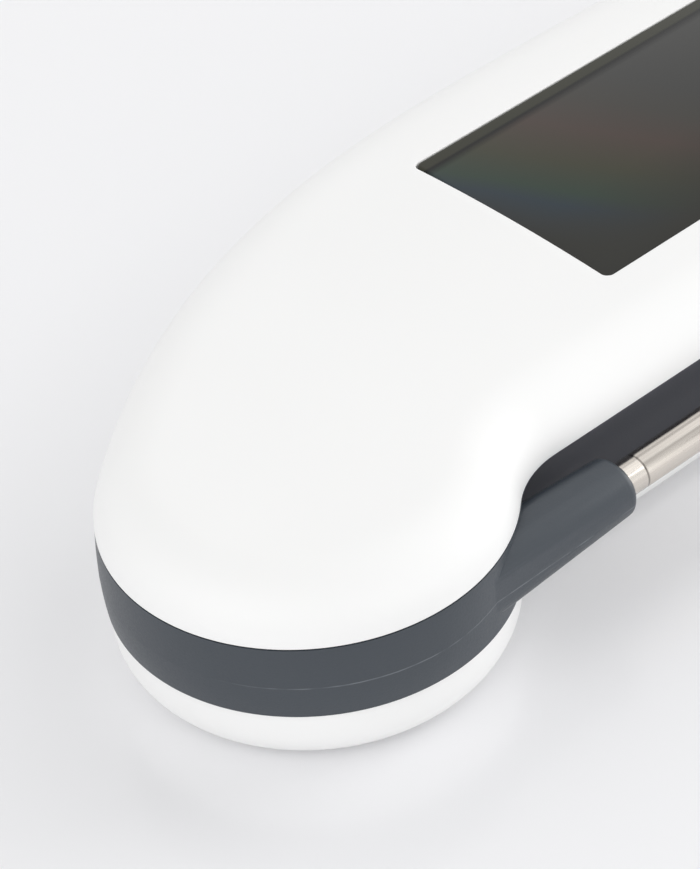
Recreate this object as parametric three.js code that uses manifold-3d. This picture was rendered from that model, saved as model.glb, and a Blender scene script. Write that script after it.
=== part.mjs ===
// Folding probe thermometer, folded shut and lying on its back.
// Millimetres. The fold axis is the Z axis and the case lies on z = 0 with its display up.
// +X runs from the fold axis to the butt end. The stem lies along the -Y side.
import * as THREE from 'three';
import { mergeVertices } from 'three/addons/utils/BufferGeometryUtils.js';
import Module from 'manifold-3d';

const wasm = await Module();
wasm.setup();

// Heights, stacked from the surface that the case lies on.
const baseHeight = 6.3;          // rear shell under the drum band
const bandBelow = 3.2;           // drum band under the parting plane
const bandAbove = 4.0;           // drum band over the parting plane
const capHeight = 5.5;           // front shell over the drum band
const partingZ = baseHeight + bandBelow;
const bandTopZ = partingZ + bandAbove;
const caseTopZ = bandTopZ + capHeight;

// Drum and fold.
const hubRadius = 17;
const hubGap = 0.1;              // drum faces to the shells
const swingGap = 0.4;            // drum rim to the case inside
const deckWall = 1.5;            // wall round the drum and the channel
const stemInset = 3.7;           // drum rim in to the stem axis
const stemY = stemInset - hubRadius;
const armOverhang = 4.25;        // arm end past the drum rim
const armEndX = hubRadius + armOverhang;
const armWidth = 5.1;
const armFlare = 0.7;            // arm wider where it leaves the drum
const armDrop = 1.95;            // arm end under the parting plane
const armRise = 2.95;            // arm end over the parting plane
const armEndInset = 0.7;         // rounding of the arm's end face
const armRounds = [1.2, 1.8, 2.3, 1.6];   // corners of the arm's sections, drum to end
const hubCavity = 1.6;           // hollow in the drum, each way from the parting plane
const boreStep = 0.5;            // hollow starts inside the spindle's bore
const hubSides = 56;
const spindleRadius = 4.1;
const spindleBore = 2.6;
const turningGap = 0.3;          // spindle to drum bore
const sealSection = 0.6;
const sealDepth = 2 * sealSection - 0.05;
const sealTouch = 0.03;          // seal to the shell that it wipes
const sealInset = 1.7;           // drum rim in to the seal's middle

// Stem.
const stemDiameter = 3.1;
const stemRise = 0.4;            // stem axis over the parting plane
const stemZ = partingZ + stemRise;
const stemWall = 0.4;
const tipDiameter = 1.7;
const tipLength = 21;
const tipInset = 9;              // stem point to butt end
const shoulderLength = 4;        // tube narrows to the point
const plugStart = 6;             // tube end back to the start of the swaged bore
const plugEnd = 7.5;
const tipTail = 5.5;             // point's shank inside the tube
const tipTaper = 4.5;
const fitGap = 0.1;              // pieces pushed together by hand

// Length of the case, stacked along X.
const windowStartX = 32;
const windowLength = 42;
const batteryGap = 3.5;          // window to battery
const batteryLength = 44.5;
const buttLength = 15;           // battery to butt end
const batteryStartX = windowStartX + windowLength + batteryGap;
const batteryEndX = batteryStartX + batteryLength;
const caseEndX = batteryEndX + buttLength;
const stemEndX = caseEndX - tipInset;

// Width of the case.
const caseSideX = 44;            // where the far side is widest
const caseSideY = 32;
const caseLeave = THREE.MathUtils.degToRad(131);   // where the far side leaves the drum circle
const channelEdge = 3.15;        // stem axis to the shells' straight edge
const channelEdgeY = stemY + channelEdge;
const channelFillet = 9;
const channelDepth = 5;          // shells' straight edge to the back of the channel
const channelBackY = channelEdgeY + channelDepth;
const channelEndX = stemEndX + 3.5;
const buttCorner = 16;
const buttMidY = 8;

// Shell walls.
const wall = 2;
const floorWall = 2.6;
const topEdge = 5.4;             // rounding of the front shell, inwards
const baseEdge = 4;
const baseDraft = 0.45;          // rear shell leans in by this much
const rimHeight = 0.1;           // straight part of the front shell over the drum band
const roofStep = 0.8;            // inside corner of the front shell
const ribWall = 1.6;             // rear shell's ribs behind the battery contacts
const ribWidth = 9;
const linerGap = 0.3;            // lining in from the shells' outline
const linerLip = 0.4;            // lining's edge over and under its groove
const linerClear = 0.9;          // lining to the arm
const linerEnd = 1.3;            // wall at the end of the groove

// Window and display.
const windowWidth = 23.8;
const windowLowY = -1.7;
const windowCorner = 0.7;
const windowRecess = 0.6;        // window face under the case top
const windowFlange = 1.5;
const foamHeight = 0.8;
const glassHeight = 1.6;
const backlightHeight = 1.3;
const boardHeight = 1.1;
const stackGap = 0.1;            // between stacked display pieces
const foamWidth = 1.8;
const connectorWidth = 1.6;
const processorSize = 8;
const sensorSize = 3;
const leadRadius = 0.35;

// Battery, its cover and the settings switches.
const batteryDiameter = 10.5;
const batteryY = 7;
const batteryRise = 1.9;         // underside of the battery over the surface
const coverWall = 1.2;
const coverSink = 0.15;
const coverSeal = 0.35;
const coverLedge = 1.5;
const coverCorner = 4;
const coverScrewRun = 7;         // battery end to the cover screw
const sliderTravel = 1.2;
const sliderSize = 1.2;
const sliderPitch = 3.2;
const buttonRadius = 1.9;        // positive end of the battery
const buttonLength = 1;
const cellEdge = 0.6;
const contactWidth = 8;
const springClear = 0.05;        // spring's base under the board
const springLength = 2.6;

// Fasteners.
const bossRadius = 2.6;
const screwRadius = 0.85;
const screwHeadRadius = 1.9;
const screwHeadHeight = 1.35;
const screwSink = 0.6;
const screwGap = 0.25;
const beadInset = 0.3;           // case bead in from the shells' wall
const beadReach = 1.1;
const bossToBead = 0.2;
const screwRoof = 2.5;           // screw point to the front shell's roof
const screwPoint = 0.8;
const screwEdge = 0.3;

const finishes = {
  shell: { color: 0xf4f4f2, roughness: 0.42, metalness: 0 },
  drum: { color: 0x565c63, roughness: 0.62, metalness: 0 },
  liner: { color: 0x3e4045, roughness: 0.6, metalness: 0 },
  window: { color: 0x2b2b29, roughness: 0.12, metalness: 0 },
  steel: { color: 0xc9c2b6, roughness: 0.28, metalness: 1 },
  plated: { color: 0xb9bcc0, roughness: 0.3, metalness: 1 },
  rubber: { color: 0x1c1c1d, roughness: 0.85, metalness: 0 },
  glass: { color: 0x8d948a, roughness: 0.1, metalness: 0 },
  diffuser: { color: 0xeef0ee, roughness: 0.5, metalness: 0 },
  board: { color: 0x1f5a3a, roughness: 0.5, metalness: 0 },
  chip: { color: 0x18191b, roughness: 0.45, metalness: 0 },
  wrapper: { color: 0x3a5f8f, roughness: 0.35, metalness: 0 },
  wire: { color: 0x7a2f24, roughness: 0.6, metalness: 0 },
};

const thermometer = new THREE.Group();
const probeArm = new THREE.Group();
thermometer.add(probeArm);

function addPiece(parent, name, finish, geometry) {
  const mesh = new THREE.Mesh(closed(geometry), new THREE.MeshStandardMaterial(finishes[finish]));
  mesh.name = name;
  parent.add(mesh);
}

// One indexed, closed surface with its faces out: shared corners merged, collapsed faces dropped.
function closed(geometry) {
  const bare = geometry.clone();
  bare.deleteAttribute('normal');
  bare.deleteAttribute('uv');
  const merged = mergeVertices(bare, 1e-4);
  const corner = merged.attributes.position;
  const kept = [];
  let volume = 0;
  const [p, q, r] = [new THREE.Vector3(), new THREE.Vector3(), new THREE.Vector3()];
  for (let i = 0; i < merged.index.count; i += 3) {
    const [a, b, c] = [0, 1, 2].map((step) => merged.index.getX(i + step));
    if (a === b || b === c || c === a) continue;
    kept.push([a, b, c]);
    volume += p.fromBufferAttribute(corner, a)
      .dot(q.fromBufferAttribute(corner, b).cross(r.fromBufferAttribute(corner, c)));
  }
  const index = kept.flatMap(([a, b, c]) => (volume < 0 ? [a, c, b] : [a, b, c]));
  merged.setIndex(index);
  return merged;
}

function solid(geometry) {
  const merged = closed(geometry);
  return new wasm.Manifold(new wasm.Mesh({
    numProp: 3,
    vertProperties: new Float32Array(merged.attributes.position.array),
    triVerts: new Uint32Array(merged.index.array),
  }));
}

function surface(body) {
  const mesh = body.getMesh();
  const geometry = new THREE.BufferGeometry();
  geometry.setAttribute('position', new THREE.BufferAttribute(mesh.vertProperties, 3));
  geometry.setIndex(new THREE.BufferAttribute(mesh.triVerts, 1));
  return geometry;
}

function block(x, y, z) {
  const geometry = new THREE.BoxGeometry(x[1] - x[0], y[1] - y[0], z[1] - z[0]);
  return geometry.translate((x[0] + x[1]) / 2, (y[0] + y[1]) / 2, (z[0] + z[1]) / 2);
}

function disc(radius, z, x = 0, y = 0, sides = 24) {
  const geometry = new THREE.CylinderGeometry(radius, radius, z[1] - z[0], sides);
  return geometry.rotateX(Math.PI / 2).translate(x, y, (z[0] + z[1]) / 2);
}

function rod(radius, x, y, z, sides = 20) {
  const geometry = new THREE.CylinderGeometry(radius, radius, x[1] - x[0], sides);
  return geometry.rotateZ(-Math.PI / 2).translate((x[0] + x[1]) / 2, y, z);
}

// A profile of [radius, height] corners turned about the Z axis.
function turned(profile, x = 0, y = 0, sides = 28) {
  const corners = profile.map(([radius, height]) => new THREE.Vector2(radius, height));
  return new THREE.LatheGeometry(corners, sides).rotateX(Math.PI / 2).translate(x, y, 0);
}

// A closed ring of rectangular section about the Z axis.
function washer(inner, outer, z, sides = 28) {
  const section = [[inner, z[0]], [outer, z[0]], [outer, z[1]], [inner, z[1]], [inner, z[0]]];
  return turned(section, 0, 0, sides);
}

function grown(span, by) {
  return [span[0] - by, span[1] + by];
}

function roundedShape(x, y, radius) {
  const shape = new THREE.Shape();
  shape.absarc(x[1] - radius, y[0] + radius, radius, -Math.PI / 2, 0);
  shape.absarc(x[1] - radius, y[1] - radius, radius, 0, Math.PI / 2);
  shape.absarc(x[0] + radius, y[1] - radius, radius, Math.PI / 2, Math.PI);
  shape.absarc(x[0] + radius, y[0] + radius, radius, Math.PI, Math.PI * 1.5);
  shape.closePath();
  return shape;
}

function prism(shape, z, curveSegments = 5) {
  const options = { depth: z[1] - z[0], bevelEnabled: false, curveSegments };
  return new THREE.ExtrudeGeometry(shape, options).translate(0, 0, z[0]);
}

function roundedPlate(x, y, radius, z) {
  return prism(roundedShape(x, y, radius), z);
}

function roundedFrame(x, y, radius, band, z) {
  const shape = roundedShape(x, y, radius);
  shape.holes.push(roundedShape(grown(x, -band), grown(y, -band), Math.max(radius - band, 0.3)));
  return prism(shape, z);
}

// Plan of the case, counter-clockwise from where the channel side leaves the drum circle.
function casePlan() {
  const filletReach = hubRadius + channelFillet;
  const filletY = channelEdgeY - channelFillet;
  const filletX = Math.sqrt(filletReach ** 2 - filletY ** 2);
  const leave = Math.atan2(filletY, filletX);
  const cornerX = caseEndX - buttCorner;
  const cornerPull = buttCorner * 0.56;
  const joinX = hubRadius * Math.cos(caseLeave);
  const joinY = hubRadius * Math.sin(caseLeave);
  const joinPull = 19.5;
  const widePull = 24;
  const stretches = [
    [new THREE.EllipseCurve(filletX, filletY, channelFillet, channelFillet,
      leave + Math.PI, Math.PI / 2, true), 6],
    [new THREE.LineCurve(new THREE.Vector2(filletX, channelEdgeY),
      new THREE.Vector2(cornerX, channelEdgeY)), 1],
    [new THREE.CubicBezierCurve(new THREE.Vector2(cornerX, channelEdgeY),
      new THREE.Vector2(cornerX + cornerPull, channelEdgeY),
      new THREE.Vector2(caseEndX, buttMidY - cornerPull),
      new THREE.Vector2(caseEndX, buttMidY)), 9],
    [new THREE.CubicBezierCurve(new THREE.Vector2(caseEndX, buttMidY),
      new THREE.Vector2(caseEndX, buttMidY + 18),
      new THREE.Vector2(caseSideX + 50, caseSideY),
      new THREE.Vector2(caseSideX, caseSideY)), 14],
    [new THREE.CubicBezierCurve(new THREE.Vector2(caseSideX, caseSideY),
      new THREE.Vector2(caseSideX - widePull, caseSideY),
      new THREE.Vector2(joinX + joinPull * Math.sin(caseLeave), joinY - joinPull * Math.cos(caseLeave)),
      new THREE.Vector2(joinX, joinY)), 12],
    [new THREE.EllipseCurve(0, 0, hubRadius, hubRadius, caseLeave, leave + Math.PI * 2, false), 28],
  ];
  return stretches.flatMap(([curve, steps]) => curve.getPoints(steps).slice(0, -1));
}

// The plan moved inwards by an even distance.
function insetPlan(plan, distance) {
  return plan.map((point, i) => {
    const before = plan.at(i - 1);
    const after = plan[(i + 1) % plan.length];
    const arrive = point.clone().sub(before).normalize();
    const depart = after.clone().sub(point).normalize();
    const inward = new THREE.Vector2(-arrive.y - depart.y, arrive.x + depart.x).normalize();
    const spread = inward.dot(new THREE.Vector2(-arrive.y, arrive.x));
    return point.clone().addScaledVector(inward, distance / spread);
  });
}

// A skin through plans of equal count at rising heights, closed by flat ends.
function loft(layers) {
  const count = layers[0].plan.length;
  const position = layers.flatMap(({ plan, z }) => plan.flatMap((point) => [point.x, point.y, z]));
  const index = [];
  for (let layer = 0; layer + 1 < layers.length; layer++) {
    for (let i = 0; i < count; i++) {
      const a = layer * count + i;
      const b = layer * count + (i + 1) % count;
      index.push(a, b, b + count, a, b + count, a + count);
    }
  }
  const last = (layers.length - 1) * count;
  for (const [a, b, c] of THREE.ShapeUtils.triangulateShape(layers[0].plan, [])) index.push(c, b, a);
  for (const [a, b, c] of THREE.ShapeUtils.triangulateShape(layers.at(-1).plan, [])) {
    index.push(last + a, last + b, last + c);
  }
  const geometry = new THREE.BufferGeometry();
  geometry.setAttribute('position', new THREE.Float32BufferAttribute(position, 3));
  geometry.setIndex(index);
  return geometry;
}

const plan = casePlan();

// Far side of the outline where it is crossed at x, drawn in by a distance.
function farSideY(x, distance) {
  const side = insetPlan(plan, distance);
  let farthest = -Infinity;
  side.forEach((point, i) => {
    const after = side[(i + 1) % side.length];
    if ((point.x - x) * (after.x - x) > 0 || point.x === after.x) return;
    const share = (x - point.x) / (after.x - point.x);
    farthest = Math.max(farthest, point.y + (after.y - point.y) * share);
  });
  return farthest;
}

const layersAt = (rows) => rows.map(([distance, z]) => ({ plan: insetPlan(plan, distance), z }));

// Space that the drum, the folded-out arm and the stem's channel need between the shells.
function swingSpace(grow, z) {
  const far = hubRadius * 3;
  const sideY = hubRadius + swingGap + grow;
  return solid(disc(hubRadius + swingGap + grow, z, 0, 0, 56))
    .add(solid(block([-far, 0], [-far, sideY], z)))
    .add(solid(block([hubRadius / 2, channelEndX + grow], [-far, channelBackY + grow], z)));
}

const coverX = [batteryStartX - coverScrewRun - 3.5, batteryEndX + 2];
const coverY = [batteryY - batteryDiameter / 2 - 2.5, batteryY + batteryDiameter / 2 + 6.2];
const coverScrew = { x: batteryStartX - coverScrewRun, y: batteryY + 2 };
const bayX = [batteryStartX - 3, coverX[1] - coverLedge];
const bayY = [coverY[0] + coverLedge, coverY[1] - coverLedge];
const seatZ = coverSink + coverWall + coverSeal + 2 * stackGap;
const batteryMidX = (batteryStartX + batteryEndX) / 2;
const caseScrews = [
  { x: windowStartX - 8, y: caseSideY - 9 },
  { x: windowStartX - 8, y: channelBackY + deckWall + 2.2 },
  { x: batteryMidX, y: farSideY(batteryMidX, wall + beadReach) - bossRadius - bossToBead },
  { x: caseEndX - 8, y: buttMidY - 6.5 },
];
const windowX = [windowStartX, windowStartX + windowLength];
const windowY = [windowLowY, windowLowY + windowWidth];
const roofZ = caseTopZ - wall;
const caseDeckZ = [baseHeight - deckWall, bandTopZ + deckWall];

function frontShell() {
  const edgeRows = [0.25, 0.5, 0.75, 1].map((turn) => {
    const angle = turn * Math.PI / 2;
    const rise = (capHeight - rimHeight) * Math.sin(angle);
    return [topEdge * (1 - Math.cos(angle)), bandTopZ + rimHeight + rise];
  });
  const outside = solid(loft(layersAt([[0, partingZ], [0, bandTopZ + rimHeight], ...edgeRows])));
  const hollow = solid(loft(layersAt([
    [wall, partingZ - 1], [wall, bandTopZ + 1], [wall * 1.4, roofZ - roofStep], [topEdge, roofZ],
  ]))).subtract(swingSpace(deckWall, [0, caseDeckZ[1]]));
  let shell = outside.subtract(hollow);
  for (const { x, y } of caseScrews) {
    shell = shell.add(solid(disc(bossRadius, [partingZ, roofZ + wall / 2], x, y, 16)));
    shell = shell.subtract(solid(disc(screwRadius + screwGap, [partingZ - 1, roofZ - 1.5], x, y, 12)));
  }
  return shell.subtract(swingSpace(0, [-1, bandTopZ]))
    .subtract(solid(disc(spindleRadius + fitGap * 2, [bandTopZ - 1, caseDeckZ[1] + 0.5])))
    .subtract(solid(roundedPlate(windowX, windowY, windowCorner, [roofZ - 1, caseTopZ + 1])));
}

function rearShell() {
  const edgeRows = [0, 0.25, 0.5, 0.75, 1].map((turn) => {
    const angle = turn * Math.PI / 2;
    return [baseDraft + baseEdge * (1 - Math.sin(angle)), baseEdge * (1 - Math.cos(angle))];
  });
  const outside = solid(loft(layersAt([...edgeRows, [0, partingZ]])));
  const hollow = solid(loft(layersAt([
    [baseEdge, floorWall], [wall + baseDraft, floorWall + 1], [wall, partingZ + 1],
  ]))).subtract(swingSpace(deckWall, [caseDeckZ[0], partingZ + 2]));
  let shell = outside.subtract(hollow);
  for (const { x, y } of caseScrews) {
    shell = shell.add(solid(disc(bossRadius, [floorWall / 2, partingZ], x, y, 16)));
    shell = shell.subtract(solid(disc(screwRadius + screwGap, [-1, partingZ + 1], x, y, 12)));
    const headRoom = disc(screwHeadRadius + screwGap, [-1, screwSink + screwHeadHeight], x, y, 16);
    shell = shell.subtract(solid(headRoom));
  }
  const ribY = [batteryY - ribWidth / 2, batteryY + ribWidth / 2];
  for (const x of [bayX[0] - stackGap - ribWall, batteryEndX + cellEdge]) {
    shell = shell.add(solid(block([x, x + ribWall], ribY, [floorWall / 2, partingZ + roofStep])));
  }
  shell = shell.add(solid(disc(bossRadius, [floorWall / 2, baseHeight + 1], coverScrew.x, coverScrew.y, 16)))
    .subtract(solid(disc(screwRadius + screwGap, [-1, baseHeight + 0.4], coverScrew.x, coverScrew.y, 12)));
  const edge = [[coverX[0] - fitGap, coverX[1] + fitGap], [coverY[0] - fitGap, coverY[1] + fitGap]];
  return shell.subtract(swingSpace(0, [baseHeight, caseTopZ]))
    .subtract(solid(disc(spindleRadius + fitGap * 2, [caseDeckZ[0] - 0.5, baseHeight + 1])))
    .subtract(solid(roundedPlate(...edge, coverCorner, [-1, seatZ])))
    .subtract(solid(roundedPlate(bayX, bayY, coverCorner - coverLedge, [-1, floorWall + 1])));
}

// Grey lining of the stem's channel: a hollow-ground strip that follows the shells' edge.
function channelLiner() {
  const z = [baseHeight + hubGap, bandTopZ - hubGap];
  const far = hubRadius * 3;
  const grooveShape = new THREE.Shape();
  grooveShape.absellipse(0, 0, channelEdge * 2, (z[1] - z[0]) / 2 - linerLip, 0, Math.PI * 2, false, 0);
  const grooveLength = channelEndX - linerEnd;
  const groove = prism(grooveShape, [0, grooveLength], 14)
    .applyMatrix4(new THREE.Matrix4().makeBasis(
      new THREE.Vector3(0, 1, 0), new THREE.Vector3(0, 0, 1), new THREE.Vector3(1, 0, 0)))
    .translate(0, stemY, partingZ);
  const strip = insetPlan(plan, linerGap);
  const armSideY = stemY + armWidth / 2;
  return solid(loft([{ plan: strip, z: z[0] }, { plan: strip, z: z[1] }]))
    .intersect(solid(block([hubRadius * 0.6, channelEndX - fitGap], [-far, channelBackY - fitGap], z)))
    .subtract(solid(disc(hubRadius + swingGap, [0, caseTopZ], 0, 0, hubSides)))
    .subtract(solid(block([0, armEndX + swingGap], [-far, armSideY + linerClear], [0, caseTopZ])))
    .subtract(solid(groove));
}

// Outline of the arm where it is cut across, as corners in Y and Z.
function armSection(width, z, radius) {
  const y = [stemY - width / 2, stemY + width / 2];
  return roundedShape(y, z, radius).getPoints(3).slice(0, -1);
}

// Drum with its arm, as one body before it is parted into two mouldings.
function hubBody() {
  const z = [baseHeight + hubGap, bandTopZ - hubGap];
  const endZ = [partingZ - armDrop, partingZ + armRise];
  const midZ = [z[0] + armFlare, z[1] - armFlare / 2];
  const arm = loft([
    { plan: armSection(armWidth + armFlare, grown(z, -0.05), armRounds[0]), z: hubRadius * 0.15 },
    { plan: armSection(armWidth + armFlare / 2, midZ, armRounds[1]), z: hubRadius * 0.7 },
    { plan: armSection(armWidth, endZ, armRounds[2]), z: armEndX - armEndInset },
    { plan: armSection(armWidth - 2 * armEndInset, grown(endZ, -armEndInset), armRounds[3]), z: armEndX },
  ]).applyMatrix4(new THREE.Matrix4().makeBasis(
    new THREE.Vector3(0, 1, 0), new THREE.Vector3(0, 0, 1), new THREE.Vector3(1, 0, 0)));
  const sealX = hubRadius - sealInset;
  const sealRoom = sealSection + fitGap;
  const boreRadius = spindleRadius + turningGap;
  const cavityZ = [partingZ - hubCavity, partingZ + hubCavity];
  return solid(disc(hubRadius, z, 0, 0, hubSides))
    .add(solid(arm))
    .subtract(solid(disc(boreRadius, [0, caseTopZ], 0, 0, 28)))
    .subtract(solid(washer(boreRadius - boreStep, sealX - sealRoom - 1, cavityZ)))
    .subtract(solid(rod(stemDiameter / 2 + fitGap, [hubRadius * 0.15, armEndX + 1], stemY, stemZ)))
    .subtract(solid(washer(sealX - sealRoom, sealX + sealRoom, [z[1] - sealDepth, caseTopZ], hubSides)))
    .subtract(solid(washer(sealX - sealRoom, sealX + sealRoom, [0, z[0] + sealDepth], hubSides)));
}

function hubHalf(keepZ) {
  const far = hubRadius * 3;
  return hubBody().intersect(solid(block([-far, far], [-far, far], keepZ)));
}

function torus(radius, section, z) {
  return new THREE.TorusGeometry(radius, section, 8, 32).translate(0, 0, z);
}

// Steel tube with a step down to the narrow point.
function stemTube() {
  const start = hubRadius * 0.45;
  const end = stemEndX - tipLength;
  const outer = stemDiameter / 2;
  const inner = outer - stemWall;
  const neck = tipDiameter / 2 + 0.05;
  const profile = [
    [inner, start], [outer, start], [outer, end - shoulderLength], [neck + 0.15, end], [neck, end],
    [neck, end - plugStart], [inner, end - plugEnd], [inner, start],
  ];
  return turned(profile, 0, 0, 20).rotateY(Math.PI / 2).translate(0, stemY, stemZ);
}

function stemPoint() {
  const radius = tipDiameter / 2;
  const start = stemEndX - tipLength - tipTail;
  const profile = [
    [0, start], [radius, start], [radius, stemEndX - tipTaper],
    [radius * 0.72, stemEndX - tipTaper * 0.45], [radius * 0.25, stemEndX - tipTaper * 0.05], [0, stemEndX],
  ];
  return turned(profile, 0, 0, 16).rotateY(Math.PI / 2).translate(0, stemY, stemZ);
}

function lead(points, radius, steps) {
  const route = new THREE.CatmullRomCurve3(points.map((point) => new THREE.Vector3(...point)));
  const section = new THREE.Shape();
  section.absarc(0, 0, radius, 0, Math.PI * 2);
  return new THREE.ExtrudeGeometry(section, { steps, extrudePath: route, curveSegments: 3 });
}

const hubCavityX = hubRadius * 0.42;

addPiece(thermometer, 'front_shell', 'shell', surface(frontShell()));
addPiece(thermometer, 'rear_shell', 'shell', surface(rearShell()));
addPiece(thermometer, 'channel_liner', 'liner', surface(channelLiner()));

addPiece(probeArm, 'probe_hub_upper', 'drum', surface(hubHalf([partingZ, caseTopZ])));
addPiece(probeArm, 'probe_hub_lower', 'drum', surface(hubHalf([0, partingZ])));
const sealRise = sealTouch + sealSection;
const sealRadius = hubRadius - sealInset;
addPiece(probeArm, 'hub_seal_upper', 'rubber', torus(sealRadius, sealSection, bandTopZ - sealRise));
addPiece(probeArm, 'hub_seal_lower', 'rubber', torus(sealRadius, sealSection, baseHeight + sealRise));
addPiece(probeArm, 'probe_tube', 'steel', stemTube());
addPiece(probeArm, 'probe_tip', 'steel', stemPoint());
addPiece(probeArm, 'thermocouple_lead', 'wire', lead([
  [stemEndX - tipLength - 9, stemY, stemZ], [hubRadius, stemY, stemZ],
  [hubRadius * 0.5, stemY, stemZ], [hubCavityX * 0.6, stemY + 1.4, partingZ],
  [1, -8.2, partingZ], [-4, -6.4, partingZ],
], 0.45, 40));
addPiece(probeArm, 'fold_magnet', 'plated', disc(1.5, [partingZ - 1.4, partingZ + 0.6], 9.4, 3, 16));

const flangeZ = [caseDeckZ[0] - 1, caseDeckZ[0] - stackGap];
const spindleTopZ = roofZ - stackGap;
const clipZ = [caseDeckZ[1] + 0.75, caseDeckZ[1] + 1.45];
const clipGroove = spindleRadius - 0.5;
addPiece(thermometer, 'pivot_spindle', 'plated', turned([
  [spindleBore, flangeZ[0]], [spindleRadius + 2.4, flangeZ[0]], [spindleRadius + 2.4, flangeZ[1]],
  [spindleRadius, flangeZ[1]], [spindleRadius, clipZ[0] - stackGap], [clipGroove, clipZ[0] - stackGap],
  [clipGroove, clipZ[1] + stackGap], [spindleRadius, clipZ[1] + stackGap], [spindleRadius, spindleTopZ],
  [spindleBore, spindleTopZ], [spindleBore, flangeZ[0]],
]));
addPiece(thermometer, 'spindle_clip', 'plated', washer(clipGroove + stackGap, spindleRadius + 1.8, clipZ));
addPiece(thermometer, 'wave_washer', 'plated',
  washer(spindleRadius + 0.3, spindleRadius + 2.5, [caseDeckZ[1] + stackGap, clipZ[0] - stackGap]));

// Display stack, from the window down to the board.
const windowTopZ = caseTopZ - windowRecess;
const flangeTopZ = roofZ - fitGap;
const flangeLowZ = roofZ - 1;
const windowPane = solid(roundedPlate(grown(windowX, -fitGap), grown(windowY, -fitGap), windowCorner,
  [flangeLowZ, windowTopZ]))
  .add(solid(roundedPlate(grown(windowX, windowFlange), grown(windowY, windowFlange), windowCorner,
    [flangeLowZ, flangeTopZ])));
addPiece(thermometer, 'display_window', 'window', surface(windowPane));
const foamZ = [flangeLowZ - stackGap - foamHeight, flangeLowZ - stackGap];
addPiece(thermometer, 'window_gasket', 'rubber',
  roundedFrame(grown(windowX, windowFlange), grown(windowY, windowFlange), windowCorner, foamWidth, foamZ));
const glassZ = [foamZ[0] - stackGap - glassHeight, foamZ[0] - stackGap];
addPiece(thermometer, 'lcd_glass', 'glass', block(grown(windowX, 1), grown(windowY, 0.9), glassZ));
const backlightZ = [glassZ[0] - stackGap - backlightHeight, glassZ[0] - stackGap];
addPiece(thermometer, 'backlight_panel', 'diffuser',
  block(grown(windowX, -2.2), grown(windowY, 0.9), backlightZ));
['left', 'right'].forEach((side, i) => {
  const x = i ? [windowX[1] - connectorWidth, windowX[1]] : [windowX[0], windowX[0] + connectorWidth];
  addPiece(thermometer, `lcd_connector_${side}`, 'rubber', block(x, grown(windowY, 0.5), backlightZ));
});
const boardX = [windowX[0] - 2, windowX[1] + 1];
const boardY = [windowY[0] - 1.8, windowY[1] + 1.5];
const boardZ = [backlightZ[0] - stackGap - boardHeight, backlightZ[0] - stackGap];
const settingsX = [batteryStartX + 6, batteryStartX + 6 + sliderPitch * 2 + 1.6];
const settingsY = [batteryY + batteryDiameter / 2 + 0.8, bayY[1] - 0.3];
const boardPlate = solid(roundedPlate(boardX, boardY, 1.2, boardZ))
  .add(solid(block([boardX[1] - 5, settingsX[1] + 1.5], [settingsY[0], boardY[1] - 1.2], boardZ)));
addPiece(thermometer, 'main_board', 'board', surface(boardPlate));
const chipZ = (height) => [boardZ[0] - stackGap - height, boardZ[0] - stackGap];
const boardMidX = (boardX[0] + boardX[1]) / 2, boardMidY = (boardY[0] + boardY[1]) / 2;
const chipReach = processorSize / 2;
addPiece(thermometer, 'processor_chip', 'chip', block(
  grown([boardMidX, boardMidX], chipReach), grown([boardMidY, boardMidY], chipReach), chipZ(1.1)));
const sensorSpot = { x: boardX[0] + 6, y: boardY[1] - 7.6 };
addPiece(thermometer, 'motion_sensor_chip', 'chip',
  block([sensorSpot.x, sensorSpot.x + sensorSize], [sensorSpot.y, sensorSpot.y + sensorSize], chipZ(0.9)));
addPiece(thermometer, 'fold_sensor', 'chip',
  block([boardX[0] + 0.8, boardX[0] + 2.8], [1.5, 1.5 + sensorSize], chipZ(1)));
const leadZ = floorWall + 0.6;
addPiece(thermometer, 'board_lead', 'wire', lead([
  [0, 0, partingZ - 2], [0.3, 0.1, leadZ + 1.8], [2.5, 0.4, leadZ + 0.1], [hubRadius * 0.5, 1, leadZ],
  [hubRadius + 1, 3, leadZ + 0.1], [boardX[0] - 3, 7, leadZ + 2.6], [boardX[0] + 3, 9.5, boardZ[0] - 0.5],
], leadRadius, 30));

// Battery bay.
const batteryZ = batteryRise + batteryDiameter / 2;
const batteryShell = batteryDiameter / 2;
addPiece(thermometer, 'battery', 'wrapper', turned([
  [0, batteryStartX], [batteryShell - cellEdge, batteryStartX], [batteryShell, batteryStartX + cellEdge],
  [batteryShell, batteryEndX - buttonLength - cellEdge],
  [batteryShell - cellEdge, batteryEndX - buttonLength],
  [buttonRadius, batteryEndX - buttonLength], [buttonRadius, batteryEndX], [0, batteryEndX],
], 0, 0, 28).rotateY(Math.PI / 2).translate(0, batteryY, batteryZ));
const contactSpan = [batteryY - contactWidth / 2, batteryY + contactWidth / 2];
const springRadius = boardZ[0] - springClear - batteryZ;
const contactZ = [batteryZ - contactWidth / 2, batteryZ + contactWidth / 2];
addPiece(thermometer, 'battery_contact_positive', 'plated',
  block([batteryEndX + stackGap, batteryEndX + 0.5], contactSpan, contactZ));
addPiece(thermometer, 'battery_contact_negative', 'plated', turned([
  [0, batteryStartX - springLength], [springRadius, batteryStartX - springLength],
  [springRadius, batteryStartX - springLength + 0.4],
  [springRadius * 0.6, batteryStartX - stackGap], [0, batteryStartX - stackGap],
], 0, 0, 16).rotateY(Math.PI / 2).translate(0, batteryY, batteryZ));

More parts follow.
